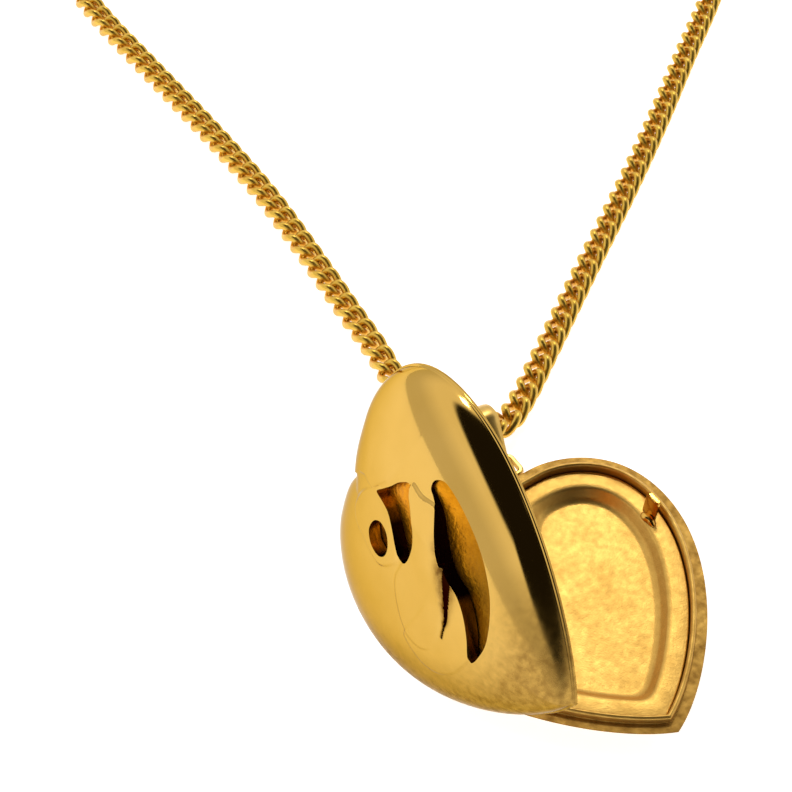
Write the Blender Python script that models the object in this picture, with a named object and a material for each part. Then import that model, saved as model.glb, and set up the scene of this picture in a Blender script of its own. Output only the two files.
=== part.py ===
"""Heart locket on a curb chain, as an assembly of separate solids.

Frame: metres, +Z up. The locket's back rests on z = 0 with its flat face centred on the origin.
+Y runs from the heart's tip to its cleft, and +X to the lobe that carries the bail.
The cover stands open on a hinge at the -X lobe.
"""
import math

import bmesh
import bpy
import numpy as np
from mathutils import Matrix, Vector

MM = 0.001

# ---- driving dimensions, in millimetres
HALF_WIDTH = 19.0
CLEFT_Y = 13.44
LOBE_TOP = (7.9, 16.65)
WIDEST_Y = 4.54
TIP_Y = -21.98
CLEFT_HANDLE = (1.78, 2.98)
LOBE_HANDLES = (4.88, 3.26)
SIDE_HANDLES = (9.7, 11.55)
TIP_HANDLE = (6.95, 2.92)
OUTLINE_STEPS = 25
FINE_STEPS = 60
CLEFT_STEPS = 12
INSET_SLACK = 1e-3

SHELF_Z = 2.4
LIP_TOP_Z = 3.35
LIP_OUTER = 1.3
LIP_INNER = 1.95
BACK_WALL = 0.4
BACK_INSET = 3.2
LIP_SLOPE = 0.05
LIP_ROUND = 0.15
LIP_CROWN = 0.2
# The bowl of the back, from the table up: inset from the outline, height.
BOWL_PROFILE = ((BACK_INSET, 0.0), (1.3, 1.05), (0.4, 1.9), (0.05, 2.25), (0.0, SHELF_Z))
BOWL_INNER = (1.5, 0.3)

PLATE_GAP = 0.15
PLATE_TOP_Z = 2.3
PLATE_THICK = 0.4
WELL_SHOULDER = 4.2
WELL_FLOOR = 5.8
WELL_FLOOR_Z = 0.9
SHOULDER_ROUND = (0.35, 0.2)
FLOOR_ROUND = (0.3, 0.2)
PLATE_UNDER = (0.5, 0.1)

COVER_RIM_Z = 2.55
COVER_HEIGHT = 6.4
COVER_CENTRE_Y = -1.0
COVER_SHRINK = 0.947
COVER_INNER_HEIGHT = 5.6
DOME_POWER = 2.3
LINER_FLANGE = 0.9
LINER_SCALE = 0.8
LINER_BASE_Z = 4.0
LINER_FLANGE_THICK = 0.35
LINER_FOOT_Z = 3.4
LINER_HEIGHT = 3.5
LINER_THICK = 0.5
COVER_OPEN_DEG = 76.6
DOME_LEVELS = (0.06, 0.25, 0.45, 0.63, 0.78, 0.89, 0.96, 0.993)
LINER_LEVELS = (0.25, 0.5, 0.7, 0.86, 0.96)
LINER_SHELL = 0.04
PIERCING_DEPTH = 1.2
PIERCING_TOP = 2.0
PIERCING_SPAN_STEPS = 3

# Piercings of the cover, seen from above with the cover closed: closed smooth outlines.
PIERCINGS = {
    "scroll_eye": (
        (2.2, 5.3), (1.2, 6.5), (-0.5, 6.9), (-1.7, 6.0),
        (-1.9, 4.4), (-1.0, 3.3), (0.5, 3.1), (1.9, 3.9),
    ),
    "inner_crescent": (
        (9.5, 3.3), (8.5, 4.7), (6.9, 5.8), (5.6, 6.8), (4.7, 7.4), (4.6, 6.0), (4.3, 4.6),
        (3.2, 3.3), (1.8, 2.1), (0.7, 1.1), (1.3, 0.0), (3.1, -0.4), (4.9, -0.2), (6.7, 0.8),
        (8.2, 2.2),
    ),
    "outer_crescent": (
        (12.4, 0.6), (13.1, -0.6), (12.7, -2.7), (11.8, -4.9), (10.6, -7.0), (9.0, -9.0),
        (6.6, -11.0), (3.7, -12.3), (0.8, -12.7), (-2.2, -11.8), (0.6, -10.7), (2.7, -9.4),
        (4.1, -7.8), (4.8, -5.8), (6.1, -4.1), (7.7, -2.7), (9.1, -1.7), (10.2, -0.9),
        (10.9, -0.1), (11.4, 0.6),
    ),
}

HINGE_X = -19.9
HINGE_Z = 2.45
KNUCKLE_R = 0.75
KNUCKLE_SIDES = 20
BORE_R = 0.42
PIN_R = 0.35
PIN_SIDES = 12
PIN_PROUD = 0.2
BORE_PROUD = 1.0
WEB_IN = 0.2
WEB_OUT = 0.1
WEB_Z = (0.25, 0.65)
KNUCKLES = (
    ("tray_knuckle_lower", 0.9, 3.4),
    ("cover_knuckle", 3.5, 6.3),
    ("tray_knuckle_upper", 6.4, 8.9),
)

TAB_X = 15.4
TAB_Y = 3.4
TAB_SIZE = (0.35, 2.2)
TAB_HEIGHT = 2.8
TAB_LEAN = 0.5
TAB_NOTCH = (4.4, 3.2)
TAB_NOTCH_BACK = 0.6
TAB_BASE_GAP = 0.05
TAB_CORNER = 0.25
# The tongue's line: share of its height, share of its lean.
TAB_LINE = ((0.0, 0.0), (0.5, 0.05), (0.85, 0.6), (1.0, 1.0))

BAIL_X = 5.8
EYE_WIRE_R = 0.4
EYE_Z = 2.0
EYE_NEAR_Y = 17.1
EYE_BAR_Y = 20.0
EYE_HALF_X = 1.1
EYE_CORNER = 0.6
EYE_CORNER_STEPS = 4
STRAP_THICK = 0.5
STRAP_GAP = 0.1
BAIL_LOOP = (24.85, 2.9)
BAIL_LOOP_R = 2.4
STRAP_WIDE = 4.3
STRAP_NARROW = 1.15
LOOP_STEPS = 14
FOLD_STEPS = 8

CHAIN_D = 3.5
CHAIN_STEP = 6.4
CHAIN_BEVEL_RES = 2
PATH_SPAN_STEPS = 12
CHAIN_SWING = (5.8, 24.2, 2.85)
CHAIN_PIECES = (
    "chain_left",
    "chain_right",
    "clasp_jump_ring",
    "clasp_eye",
    "clasp_ring",
    "clasp_bolt",
    "clasp_spring",
    "tag_jump_ring",
)

# Routes of the two strands, each from inside the bail to its end at the clasp: x, y, z.
ROUTE_LEFT = (
    (5.1, 24.2, 2.85),
    (3.0, 24.2, 2.8),
    (0.6, 25.9, 2.4),
    (0.0, 29.5, 1.9),
    (1.3, 35.0, 1.75),
    (2.8, 42.5, 1.75),
    (3.6, 51.0, 1.75),
    (5.0, 66.0, 1.75),
    (5.7, 77.0, 1.75),
    (5.6, 92.0, 1.75),
    (5.0, 108.0, 1.75),
    (4.5, 122.0, 1.75),
    (5.2, 135.0, 1.75),
    (8.6, 151.0, 1.75),
    (16.5, 166.0, 1.75),
    (29.0, 179.0, 1.75),
    (44.0, 184.8, 1.75),
    (50.7, 185.6, 1.75),
)
ROUTE_RIGHT = (
    (6.5, 24.2, 2.85),
    (8.4, 24.3, 2.83),
    (10.6, 25.0, 2.25),
    (14.4, 27.3, 1.8),
    (20.0, 31.1, 1.75),
    (33.1, 40.1, 1.75),
    (49.6, 51.3, 1.75),
    (61.1, 59.5, 1.75),
    (72.8, 68.2, 1.75),
    (84.0, 76.4, 1.75),
    (97.0, 87.5, 1.75),
    (108.0, 101.5, 1.75),
    (114.2, 118.5, 1.75),
    (114.4, 137.0, 1.75),
    (108.0, 155.5, 1.75),
    (96.5, 172.0, 1.75),
    (81.0, 181.5, 1.75),
    (74.5, 183.4, 1.75),
    (68.2, 184.1, 1.75),
)

# Clasp line: the run between the two chain ends, in the table plane.
CLASP_START = (50.7, 185.6)
CLASP_END = (68.2, 184.1)
CLASP_Z = 1.95
RING_MAJOR = 3.4
RING_TUBE_R = 0.95
RING_BORE_R = 0.62
RING_GAP_DEG = 64.0
RING_OPEN_START = -20.0
RING_SIDES = 12
RING_STEPS = 25
SLOT_HEIGHT = 0.75
SLOT_BEFORE_DEG = 5.0
SLOT_AFTER_DEG = 14.0
SLOT_INSIDE = 0.1
SLOT_OUTSIDE = 0.5
SLOT_STEPS = 9
BOLT_R = 0.5
BOLT_SIDES = 10
BOLT_STEPS = 13
BOLT_TAIL_DEG = 22.0
BOLT_NOSE_DEG = 6.0
BOLT_TRAVEL_DEG = 40.0
STUD_R = 0.26
STUD_LENGTH = 1.5
STUD_AT_DEG = 4.0
STUD_REACH = 0.85
STUD_SIDES = 10
SPRING_R = 0.38
SPRING_WIRE_R = 0.11
SPRING_TURNS = 9
SPRING_ARC_DEG = 90.0
SPRING_GAP_DEG = 4.0
SPRING_TURN_STEPS = 8
SPRING_BEVEL_RES = 1
LINK_RING_R = 1.9
LINK_WIRE_R = 0.42
LINK_LIFT = 0.02
LINK_STEPS = 24
CLASP_EYE_R = 1.15
CLASP_EYE_WIRE_R = 0.4
CLASP_EYE_STEPS = 20

# Places along the clasp line, from its left end.
JUMP_RING_AT = 2.7
CLASP_EYE_AT = 4.75
RING_CENTRE_AT = 10.75
TAG_RING_AT = 14.9

GOLD = (0.72, 0.46, 0.11, 1.0)
DULL_GOLD = (0.62, 0.36, 0.07, 1.0)
SATIN_GOLD = (0.80, 0.56, 0.20, 1.0)
WIRE_ROUGHNESS = 0.15
SHARP_DEG = 35


def clear_scene():
    for obj in list(bpy.data.objects):
        bpy.data.objects.remove(obj, do_unlink=True)


def collection(name):
    found = bpy.data.collections.new(name)
    bpy.context.scene.collection.children.link(found)
    return found


clear_scene()
PARTS = collection("heart_locket_necklace")
CUTTERS = collection("cutters")


def gold(name, colour, roughness):
    mat = bpy.data.materials.new(name)
    mat.use_nodes = True
    shader = mat.node_tree.nodes["Principled BSDF"]
    shader.inputs["Base Color"].default_value = colour
    shader.inputs["Metallic"].default_value = 1.0
    shader.inputs["Roughness"].default_value = roughness
    return mat


def add_object(name, mesh, colour=GOLD, roughness=0.2, group=None, origin=(0.0, 0.0, 0.0)):
    """Link a mesh given in millimetres of world space, with its origin moved to a joint or centre."""
    shift = Vector(origin)
    mesh.transform(Matrix.Scale(MM, 4) @ Matrix.Translation(-shift))
    obj = bpy.data.objects.new(name, mesh)
    obj.location = shift * MM
    (group or PARTS).objects.link(obj)
    if group is None:
        mesh.materials.append(gold(name + "_gold", colour, roughness))
        mesh.shade_smooth()
        mesh.set_sharp_from_angle(angle=math.radians(SHARP_DEG))
    return obj


def mesh_from_bmesh(name, bm):
    bmesh.ops.recalc_face_normals(bm, faces=bm.faces)
    mesh = bpy.data.meshes.new(name)
    bm.to_mesh(mesh)
    bm.free()
    return mesh


# ---- heart outline and its insets
def bezier(p0, p1, p2, p3, steps):
    t = np.linspace(0.0, 1.0, steps)[:, None]
    p0, p1, p2, p3 = (np.array(p, float) for p in (p0, p1, p2, p3))
    return (1 - t) ** 3 * p0 + 3 * (1 - t) ** 2 * t * p1 + 3 * (1 - t) * t * t * p2 + t ** 3 * p3


def half_heart(steps=FINE_STEPS):
    """The +X half, from the cleft over the lobe to the tip."""
    cleft = (0.0, CLEFT_Y)
    tip = (0.0, TIP_Y)
    widest = (HALF_WIDTH, WIDEST_Y)
    over_cleft = bezier(
        cleft,
        (CLEFT_HANDLE[0], CLEFT_Y + CLEFT_HANDLE[1]),
        (LOBE_TOP[0] - LOBE_HANDLES[0], LOBE_TOP[1]),
        LOBE_TOP,
        steps,
    )
    over_lobe = bezier(
        LOBE_TOP,
        (LOBE_TOP[0] + LOBE_HANDLES[1], LOBE_TOP[1]),
        (HALF_WIDTH, WIDEST_Y + SIDE_HANDLES[0]),
        widest,
        steps,
    )
    to_tip = bezier(
        widest,
        (HALF_WIDTH, WIDEST_Y - SIDE_HANDLES[1]),
        (TIP_HANDLE[0], TIP_Y + TIP_HANDLE[1]),
        tip,
        steps,
    )
    return np.vstack([over_cleft, over_lobe[1:], to_tip[1:]])


def resample(points, count):
    """Points at equal spacing along a polyline."""
    run = np.concatenate([[0.0], np.cumsum(np.linalg.norm(np.diff(points, axis=0), axis=1))])
    at = np.linspace(0.0, run[-1], count)
    return np.stack([np.interp(at, run, points[:, k]) for k in range(points.shape[1])], 1)


def distance_to(points, line):
    start, end = line[:-1], line[1:]
    along = end - start
    length2 = (along ** 2).sum(1) + 1e-12
    out = []
    for p in points:
        t = np.clip(((p - start) * along).sum(1) / length2, 0.0, 1.0)
        near = start + t[:, None] * along
        out.append(np.sqrt(((p - near) ** 2).sum(1).min()))
    return np.array(out)


def inset_half(distance, steps=OUTLINE_STEPS):
    """Half of the heart moved inwards by a distance, round at the cleft and pointed at the tip."""
    half = half_heart()
    if distance == 0.0:
        return resample(half, steps)
    tangent = np.gradient(half, axis=0)
    inward = np.stack([tangent[:, 1], -tangent[:, 0]], 1)
    inward /= np.linalg.norm(inward, axis=1)[:, None]
    moved = half + distance * inward
    first = math.atan2(inward[0, 0], -inward[0, 1])
    turn = np.linspace(0.0, first, CLEFT_STEPS)[:-1]
    cleft = half[0] + distance * np.stack([np.sin(turn), -np.cos(turn)], 1)
    moved = np.vstack([cleft, moved])
    whole = np.vstack([half, (half * [-1, 1])[::-1]])
    keep = (moved[:, 0] >= 0.0) & (distance_to(moved, whole) >= distance - INSET_SLACK)
    moved = moved[keep]
    slope = (moved[-1, 1] - moved[-2, 1]) / (moved[-1, 0] - moved[-2, 0])
    tip = [0.0, moved[-1, 1] - slope * moved[-1, 0]]
    moved = np.vstack([moved, tip])
    moved[0, 0] = 0.0
    return resample(moved, steps)


def whole_heart(half):
    """Both halves as one ring, anticlockwise from the cleft."""
    return np.vstack([(half * [-1, 1]), half[::-1][1:-1]])


def inset_ring(distance, z):
    ring = whole_heart(inset_half(distance))
    return np.c_[ring, np.full(len(ring), z)]


def scaled_ring(scale, z):
    centre = np.array([0.0, COVER_CENTRE_Y])
    ring = centre + (whole_heart(inset_half(0.0)) - centre) * scale
    return np.c_[ring, np.full(len(ring), z)]


def loft(name, rings, close=False):
    """Skin a stack of rings of equal count; the ends are capped, or joined when close is set."""
    bm = bmesh.new()
    rows = [[bm.verts.new(tuple(p)) for p in ring] for ring in rings]
    count = len(rows[0])
    pairs = list(zip(rows[:-1], rows[1:]))
    if close:
        pairs.append((rows[-1], rows[0]))
    for low, high in pairs:
        for i in range(count):
            j = (i + 1) % count
            bm.faces.new((low[i], low[j], high[j], high[i]))
    if not close:
        bm.faces.new(rows[0])
        bm.faces.new(rows[-1])
    return mesh_from_bmesh(name, bm)


def boolean(obj, cutter_mesh, operation="DIFFERENCE"):
    """Cut or join with a mesh given in world millimetres; the other body stays as a guide."""
    other = add_object(obj.name + "_cutter", cutter_mesh, group=CUTTERS)
    other.hide_render = True
    other.display_type = "WIRE"
    mod = obj.modifiers.new(operation.lower(), "BOOLEAN")
    mod.operation = operation
    mod.solver = "EXACT"
    mod.object = other


def box_mesh(name, low, high):
    bm = bmesh.new()
    bmesh.ops.create_cube(bm, size=1.0)
    low, high = Vector(low), Vector(high)
    bmesh.ops.scale(bm, vec=high - low, verts=bm.verts)
    bmesh.ops.translate(bm, vec=(low + high) / 2, verts=bm.verts)
    return mesh_from_bmesh(name, bm)


def rod_mesh(name, radius, start_y, end_y, segments=KNUCKLE_SIDES):
    """A round bar along Y on the hinge axis."""
    bm = bmesh.new()
    bmesh.ops.create_cone(
        bm,
        cap_ends=True,
        segments=segments,
        radius1=radius,
        radius2=radius,
        depth=end_y - start_y,
        matrix=Matrix.Rotation(math.radians(90), 4, "X"),
    )
    bmesh.ops.translate(bm, vec=(HINGE_X, (start_y + end_y) / 2, HINGE_Z), verts=bm.verts)
    return mesh_from_bmesh(name, bm)


def opened(mesh):
    """Turn a mesh drawn in the closed position about the hinge to the open rest position."""
    hinge = Matrix.Translation((HINGE_X, 0.0, HINGE_Z))
    mesh.transform(hinge @ Matrix.Rotation(-math.radians(COVER_OPEN_DEG), 4, "Y") @ hinge.inverted())
    return mesh


# ---- back half of the case
def make_back_tray():
    inner_z, inner_step = BOWL_INNER
    rings = [inset_ring(inset, z) for inset, z in BOWL_PROFILE]
    rings += [
        inset_ring(LIP_OUTER, SHELF_Z),
        inset_ring(LIP_OUTER + LIP_SLOPE, LIP_TOP_Z - LIP_ROUND),
        inset_ring(LIP_OUTER + LIP_CROWN, LIP_TOP_Z),
        inset_ring(LIP_INNER - LIP_CROWN, LIP_TOP_Z),
        inset_ring(LIP_INNER, LIP_TOP_Z - LIP_ROUND),
        inset_ring(LIP_INNER, inner_z),
        inset_ring(BACK_INSET + inner_step, BACK_WALL),
    ]
    add_object("back_tray", loft("back_tray", rings), SATIN_GOLD, 0.3)


def make_well_plate():
    edge = LIP_INNER + PLATE_GAP
    under = PLATE_TOP_Z - PLATE_THICK
    rings = [
        inset_ring(WELL_FLOOR - PLATE_UNDER[0], WELL_FLOOR_Z - PLATE_THICK),
        inset_ring(WELL_SHOULDER - PLATE_UNDER[1], under),
        inset_ring(edge, under),
        inset_ring(edge, PLATE_TOP_Z),
        inset_ring(WELL_SHOULDER, PLATE_TOP_Z),
        inset_ring(WELL_SHOULDER + SHOULDER_ROUND[0], PLATE_TOP_Z - SHOULDER_ROUND[1]),
        inset_ring(WELL_FLOOR - FLOOR_ROUND[0], WELL_FLOOR_Z + FLOOR_ROUND[1]),
        inset_ring(WELL_FLOOR, WELL_FLOOR_Z),
    ]
    add_object("well_plate", loft("well_plate", rings), SATIN_GOLD, 0.35)


def make_catch_tab():
    """A springy tongue soldered to the plate, leaning out towards the lip."""
    thick, wide = TAB_SIZE
    base = PLATE_TOP_Z + TAB_BASE_GAP
    rings = []
    for rise, lean in TAB_LINE:
        x = TAB_X + TAB_LEAN * lean
        z = base + TAB_HEIGHT * rise
        trim = TAB_CORNER if rise == 1.0 else 0.0
        rings.append(
            [
                (x, TAB_Y - wide / 2 + trim, z),
                (x + thick, TAB_Y - wide / 2 + trim, z),
                (x + thick, TAB_Y + wide / 2 - trim, z),
                (x, TAB_Y + wide / 2 - trim, z),
            ]
        )
    add_object("catch_tab", loft("catch_tab", rings), GOLD, 0.25, origin=(TAB_X, TAB_Y, base))


# ---- cover
def dome_rings(scale, height, base_z, levels):
    """Rings of a dome, a little fuller than an ellipse, whose foot has the given scale."""
    rings = []
    for k in levels:
        shrink = (1 - k ** DOME_POWER) ** (1 / DOME_POWER)
        rings.append(scaled_ring(scale * shrink, base_z + height * k))
    return rings


def make_front_cover():
    outer = dome_rings(1.0, COVER_HEIGHT, COVER_RIM_Z, (0.0,) + DOME_LEVELS)
    inner = dome_rings(COVER_SHRINK, COVER_INNER_HEIGHT, COVER_RIM_Z, (0.0,) + DOME_LEVELS)
    cover = add_object(
        "front_cover",
        opened(loft("front_cover", outer[::-1] + inner)),
        GOLD,
        0.08,
        origin=(HINGE_X, 0.0, HINGE_Z),
    )
    for name, points in PIERCINGS.items():
        boolean(cover, opened(prism(name, points)))


def smooth_loop(points, per_span=PIERCING_SPAN_STEPS):
    """A closed Catmull-Rom loop through the points."""
    pts = np.array(points, float)
    n = len(pts)
    out = []
    for i in range(n):
        a, b, c, d = (pts[(i + k) % n] for k in (-1, 0, 1, 2))
        for s in np.arange(per_span) / per_span:
            out.append(
                0.5 * (2 * b + (c - a) * s + (2 * a - 5 * b + 4 * c - d) * s ** 2
                       + (3 * b - a - 3 * c + d) * s ** 3)
            )
    return np.array(out)


def prism(name, points):
    loop = smooth_loop(points)
    low = np.c_[loop, np.full(len(loop), COVER_RIM_Z + PIERCING_DEPTH)]
    high = np.c_[loop, np.full(len(loop), COVER_RIM_Z + COVER_HEIGHT + PIERCING_TOP)]
    return loft(name, [low, high])


def make_cover_liner():
    """A dull dome behind the pierced cover, with a flange that meets the cover's wall."""
    flange_top = LINER_BASE_Z + LINER_FLANGE_THICK
    outer = dome_rings(LINER_SCALE, LINER_HEIGHT, LINER_FOOT_Z, LINER_LEVELS)
    inner_height = LINER_HEIGHT - LINER_THICK
    inner = dome_rings(LINER_SCALE - LINER_SHELL, inner_height, LINER_FOOT_Z, LINER_LEVELS)
    outer[0][:, 2] = flange_top
    inner[0][:, 2] = LINER_BASE_Z
    rings = outer[::-1]
    rings += [scaled_ring(LINER_FLANGE, flange_top), scaled_ring(LINER_FLANGE, LINER_BASE_Z)]
    rings += inner
    liner = add_object(
        "cover_liner",
        opened(loft("cover_liner", rings)),
        DULL_GOLD,
        0.45,
        origin=(HINGE_X, 0.0, HINGE_Z),
    )
    wide_x, wide_y = TAB_NOTCH
    low = (TAB_X - TAB_NOTCH_BACK, TAB_Y - wide_y / 2, COVER_RIM_Z)
    high = (TAB_X - TAB_NOTCH_BACK + wide_x, TAB_Y + wide_y / 2, COVER_RIM_Z + COVER_HEIGHT)
    boolean(liner, opened(box_mesh("tab_notch", low, high)))


# ---- hinge
def make_knuckle(name, start_y, end_y):
    on_cover = name == "cover_knuckle"
    turn = opened if on_cover else (lambda mesh: mesh)
    barrel = turn(rod_mesh(name, KNUCKLE_R, start_y, end_y))
    knuckle = add_object(name, barrel, GOLD, 0.25, origin=(HINGE_X, 0.0, HINGE_Z))
    near, far = WEB_Z
    low_z, high_z = (HINGE_Z + near, HINGE_Z + far) if on_cover else (HINGE_Z - far, HINGE_Z - near)
    low = (HINGE_X - WEB_IN, start_y + WEB_OUT, low_z)
    high = (-HALF_WIDTH - WEB_OUT, end_y - WEB_OUT, high_z)
    boolean(knuckle, turn(box_mesh(name, low, high)), "UNION")
    boolean(knuckle, rod_mesh(name, BORE_R, start_y - BORE_PROUD, end_y + BORE_PROUD))


def make_hinge():
    for name, start_y, end_y in KNUCKLES:
        make_knuckle(name, start_y, end_y)
    pin_start = KNUCKLES[0][1] - PIN_PROUD
    pin_end = KNUCKLES[-1][2] + PIN_PROUD
    add_object("hinge_pin", rod_mesh("hinge_pin", PIN_R, pin_start, pin_end, PIN_SIDES), GOLD, 0.2)


# ---- wires and rings
def wire(name, points, radius, cyclic=False, resolution=3):
    """A round wire through points in millimetres, as a bevelled poly curve."""
    curve = bpy.data.curves.new(name, "CURVE")
    curve.dimensions = "3D"
    curve.bevel_depth = radius * MM
    curve.bevel_resolution = resolution
    curve.use_fill_caps = not cyclic
    curve.render_resolution_u = 0
    spline = curve.splines.new("POLY")
    spline.points.add(len(points) - 1)
    for point, place in zip(spline.points, points):
        point.co = (place[0] * MM, place[1] * MM, place[2] * MM, 1.0)
    spline.use_cyclic_u = cyclic
    obj = bpy.data.objects.new(name, curve)
    PARTS.objects.link(obj)
    curve.materials.append(gold(name + "_gold", GOLD, WIRE_ROUGHNESS))


def ring_points(centre, across, up, radius, count):
    """Points of a circle in the plane of two unit directions."""
    centre, across, up = (np.array(v, float) for v in (centre, across, up))
    turns = np.linspace(0.0, 2 * math.pi, count, endpoint=False)
    return [tuple(centre + radius * (math.cos(t) * across + math.sin(t) * up)) for t in turns]


def make_bail_ring():
    """The flat wire eye soldered to the lobe, with a straight bar for the bail."""
    points = []
    corners = (
        (BAIL_X + EYE_HALF_X - EYE_CORNER, EYE_BAR_Y - EYE_CORNER, 0.0),
        (BAIL_X - EYE_HALF_X + EYE_CORNER, EYE_BAR_Y - EYE_CORNER, 90.0),
        (BAIL_X - EYE_HALF_X + EYE_CORNER, EYE_NEAR_Y + EYE_CORNER, 180.0),
        (BAIL_X + EYE_HALF_X - EYE_CORNER, EYE_NEAR_Y + EYE_CORNER, 270.0),
    )
    for x, y, start in corners:
        for step in range(EYE_CORNER_STEPS + 1):
            turn = math.radians(start + 90.0 * step / EYE_CORNER_STEPS)
            points.append((x + EYE_CORNER * math.cos(turn), y + EYE_CORNER * math.sin(turn), EYE_Z))
    wire("bail_ring", points, EYE_WIRE_R, cyclic=True)


def make_bail():
    """A strap folded into a drop: narrow round the eye's bar, wide round the chain."""
    small = np.array([EYE_BAR_Y, EYE_Z])
    large = np.array(BAIL_LOOP)
    r_small = EYE_WIRE_R + STRAP_GAP + STRAP_THICK / 2
    r_large = BAIL_LOOP_R
    gap = large - small
    lean = math.atan2(gap[1], gap[0])
    wrap = math.acos((r_small - r_large) / np.linalg.norm(gap))
    loop_turns = np.linspace(lean - wrap, lean + wrap, LOOP_STEPS + 1)
    fold_turns = np.linspace(lean + wrap, lean - wrap + 2 * math.pi, FOLD_STEPS + 1)
    around_large = [(large, r_large, turn) for turn in loop_turns]
    around_small = [(small, r_small, turn) for turn in fold_turns]
    rings = []
    for centre, radius, turn in around_large + around_small:
        out = np.array([math.cos(turn), math.sin(turn)])
        near = centre + out * (radius - STRAP_THICK / 2)
        far = centre + out * (radius + STRAP_THICK / 2)
        share = np.clip((centre[0] + out[0] * radius - EYE_BAR_Y) / (large[0] - EYE_BAR_Y), 0.0, 1.0)
        half = (STRAP_NARROW + (STRAP_WIDE - STRAP_NARROW) * math.sin(share * math.pi / 2)) / 2
        rings.append(
            [
                (BAIL_X - half, near[0], near[1]),
                (BAIL_X + half, near[0], near[1]),
                (BAIL_X + half, far[0], far[1]),
                (BAIL_X - half, far[0], far[1]),
            ]
        )
    mesh = loft("bail", rings, close=True)
    add_object("bail", mesh, GOLD, 0.1, origin=(BAIL_X, EYE_BAR_Y, EYE_Z))


# ---- chain
def smooth_path(points, step):
    """A Catmull-Rom curve through the points, read at even spacing."""
    pts = np.array(points, float)
    pts = np.vstack([2 * pts[0] - pts[1], pts, 2 * pts[-1] - pts[-2]])
    fine = []
    for i in range(1, len(pts) - 2):
        a, b, c, d = pts[i - 1:i + 3]
        knots = [0.0]
        for p, q in ((a, b), (b, c), (c, d)):
            knots.append(knots[-1] + math.sqrt(np.linalg.norm(q - p)))
        for t in np.linspace(knots[1], knots[2], PATH_SPAN_STEPS, endpoint=False):
            def blend(p, q, t0, t1):
                return (t1 - t) / (t1 - t0) * p + (t - t0) / (t1 - t0) * q
            ab = blend(a, b, knots[0], knots[1])
            bc = blend(b, c, knots[1], knots[2])
            cd = blend(c, d, knots[2], knots[3])
            abc = blend(ab, bc, knots[0], knots[2])
            bcd = blend(bc, cd, knots[1], knots[3])
            fine.append(blend(abc, bcd, knots[1], knots[2]))
    fine.append(pts[-2])
    fine = np.array(fine)
    length = np.linalg.norm(np.diff(fine, axis=0), axis=1).sum()
    return resample(fine, int(round(length / step)) + 1)


def make_chain():
    for name, route in (("chain_left", ROUTE_LEFT), ("chain_right", ROUTE_RIGHT)):
        points = [tuple(p) for p in smooth_path(route, CHAIN_STEP)]
        wire(name, points, CHAIN_D / 2, resolution=CHAIN_BEVEL_RES)


# ---- clasp
def clasp_frame():
    start = np.array(CLASP_START)
    end = np.array(CLASP_END)
    along = (end - start) / np.linalg.norm(end - start)
    return start, along, np.array([-along[1], along[0]])


def clasp_place(distance, z=0.0, aside=0.0):
    start, along, left = clasp_frame()
    spot = start + along * distance + left * aside
    return (spot[0], spot[1], z)


def arc_sections(centre, major, minor, start_deg, end_deg, count, sides):
    """Rings of a round tube along an arc about Z, measured from the clasp line."""
    along = clasp_frame()[1]
    base = math.atan2(along[1], along[0])
    up = np.array([0.0, 0.0, 1.0])
    rings = []
    for deg in np.linspace(start_deg, end_deg, count):
        turn = base + math.radians(deg)
        out = np.array([math.cos(turn), math.sin(turn), 0.0])
        mid = np.array(centre) + major * out
        ring = []
        for s in np.linspace(0.0, 2 * math.pi, sides, endpoint=False):
            ring.append(tuple(mid + minor * (math.cos(s) * out + math.sin(s) * up)))
        rings.append(ring)
    return rings


def make_clasp_ring():
    """A tube bent into a ring, open over a gap that the bolt closes, with a slot for the thumb stud."""
    centre = clasp_place(RING_CENTRE_AT, CLASP_Z)
    first = RING_OPEN_START + RING_GAP_DEG
    last = RING_OPEN_START + 360.0
    outer = arc_sections(centre, RING_MAJOR, RING_TUBE_R, first, last, RING_STEPS, RING_SIDES)
    inner = arc_sections(centre, RING_MAJOR, RING_BORE_R, first, last, RING_STEPS, RING_SIDES)
    mesh = loft("clasp_ring", outer + inner[::-1], close=True)
    ring = add_object("clasp_ring", mesh, GOLD, 0.12, origin=centre)
    slot_end = first + BOLT_TRAVEL_DEG + SLOT_AFTER_DEG
    slot = sector_mesh("stud_slot", centre, first - SLOT_BEFORE_DEG, slot_end, SLOT_HEIGHT)
    boolean(ring, slot)


def sector_mesh(name, centre, start_deg, end_deg, height):
    """A flat sector outside the ring's mid-line, which opens the tube's outer wall."""
    along = clasp_frame()[1]
    base = math.atan2(along[1], along[0])
    low, high = [], []
    radii = (RING_MAJOR + SLOT_INSIDE, RING_MAJOR + RING_TUBE_R + SLOT_OUTSIDE)
    turns = np.radians(np.linspace(start_deg, end_deg, SLOT_STEPS)) + base
    path = [(radii[0], t) for t in turns] + [(radii[1], t) for t in turns[::-1]]
    for radius, turn in path:
        x = centre[0] + radius * math.cos(turn)
        y = centre[1] + radius * math.sin(turn)
        low.append((x, y, centre[2] - height / 2))
        high.append((x, y, centre[2] + height / 2))
    return loft(name, [low, high])


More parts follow.
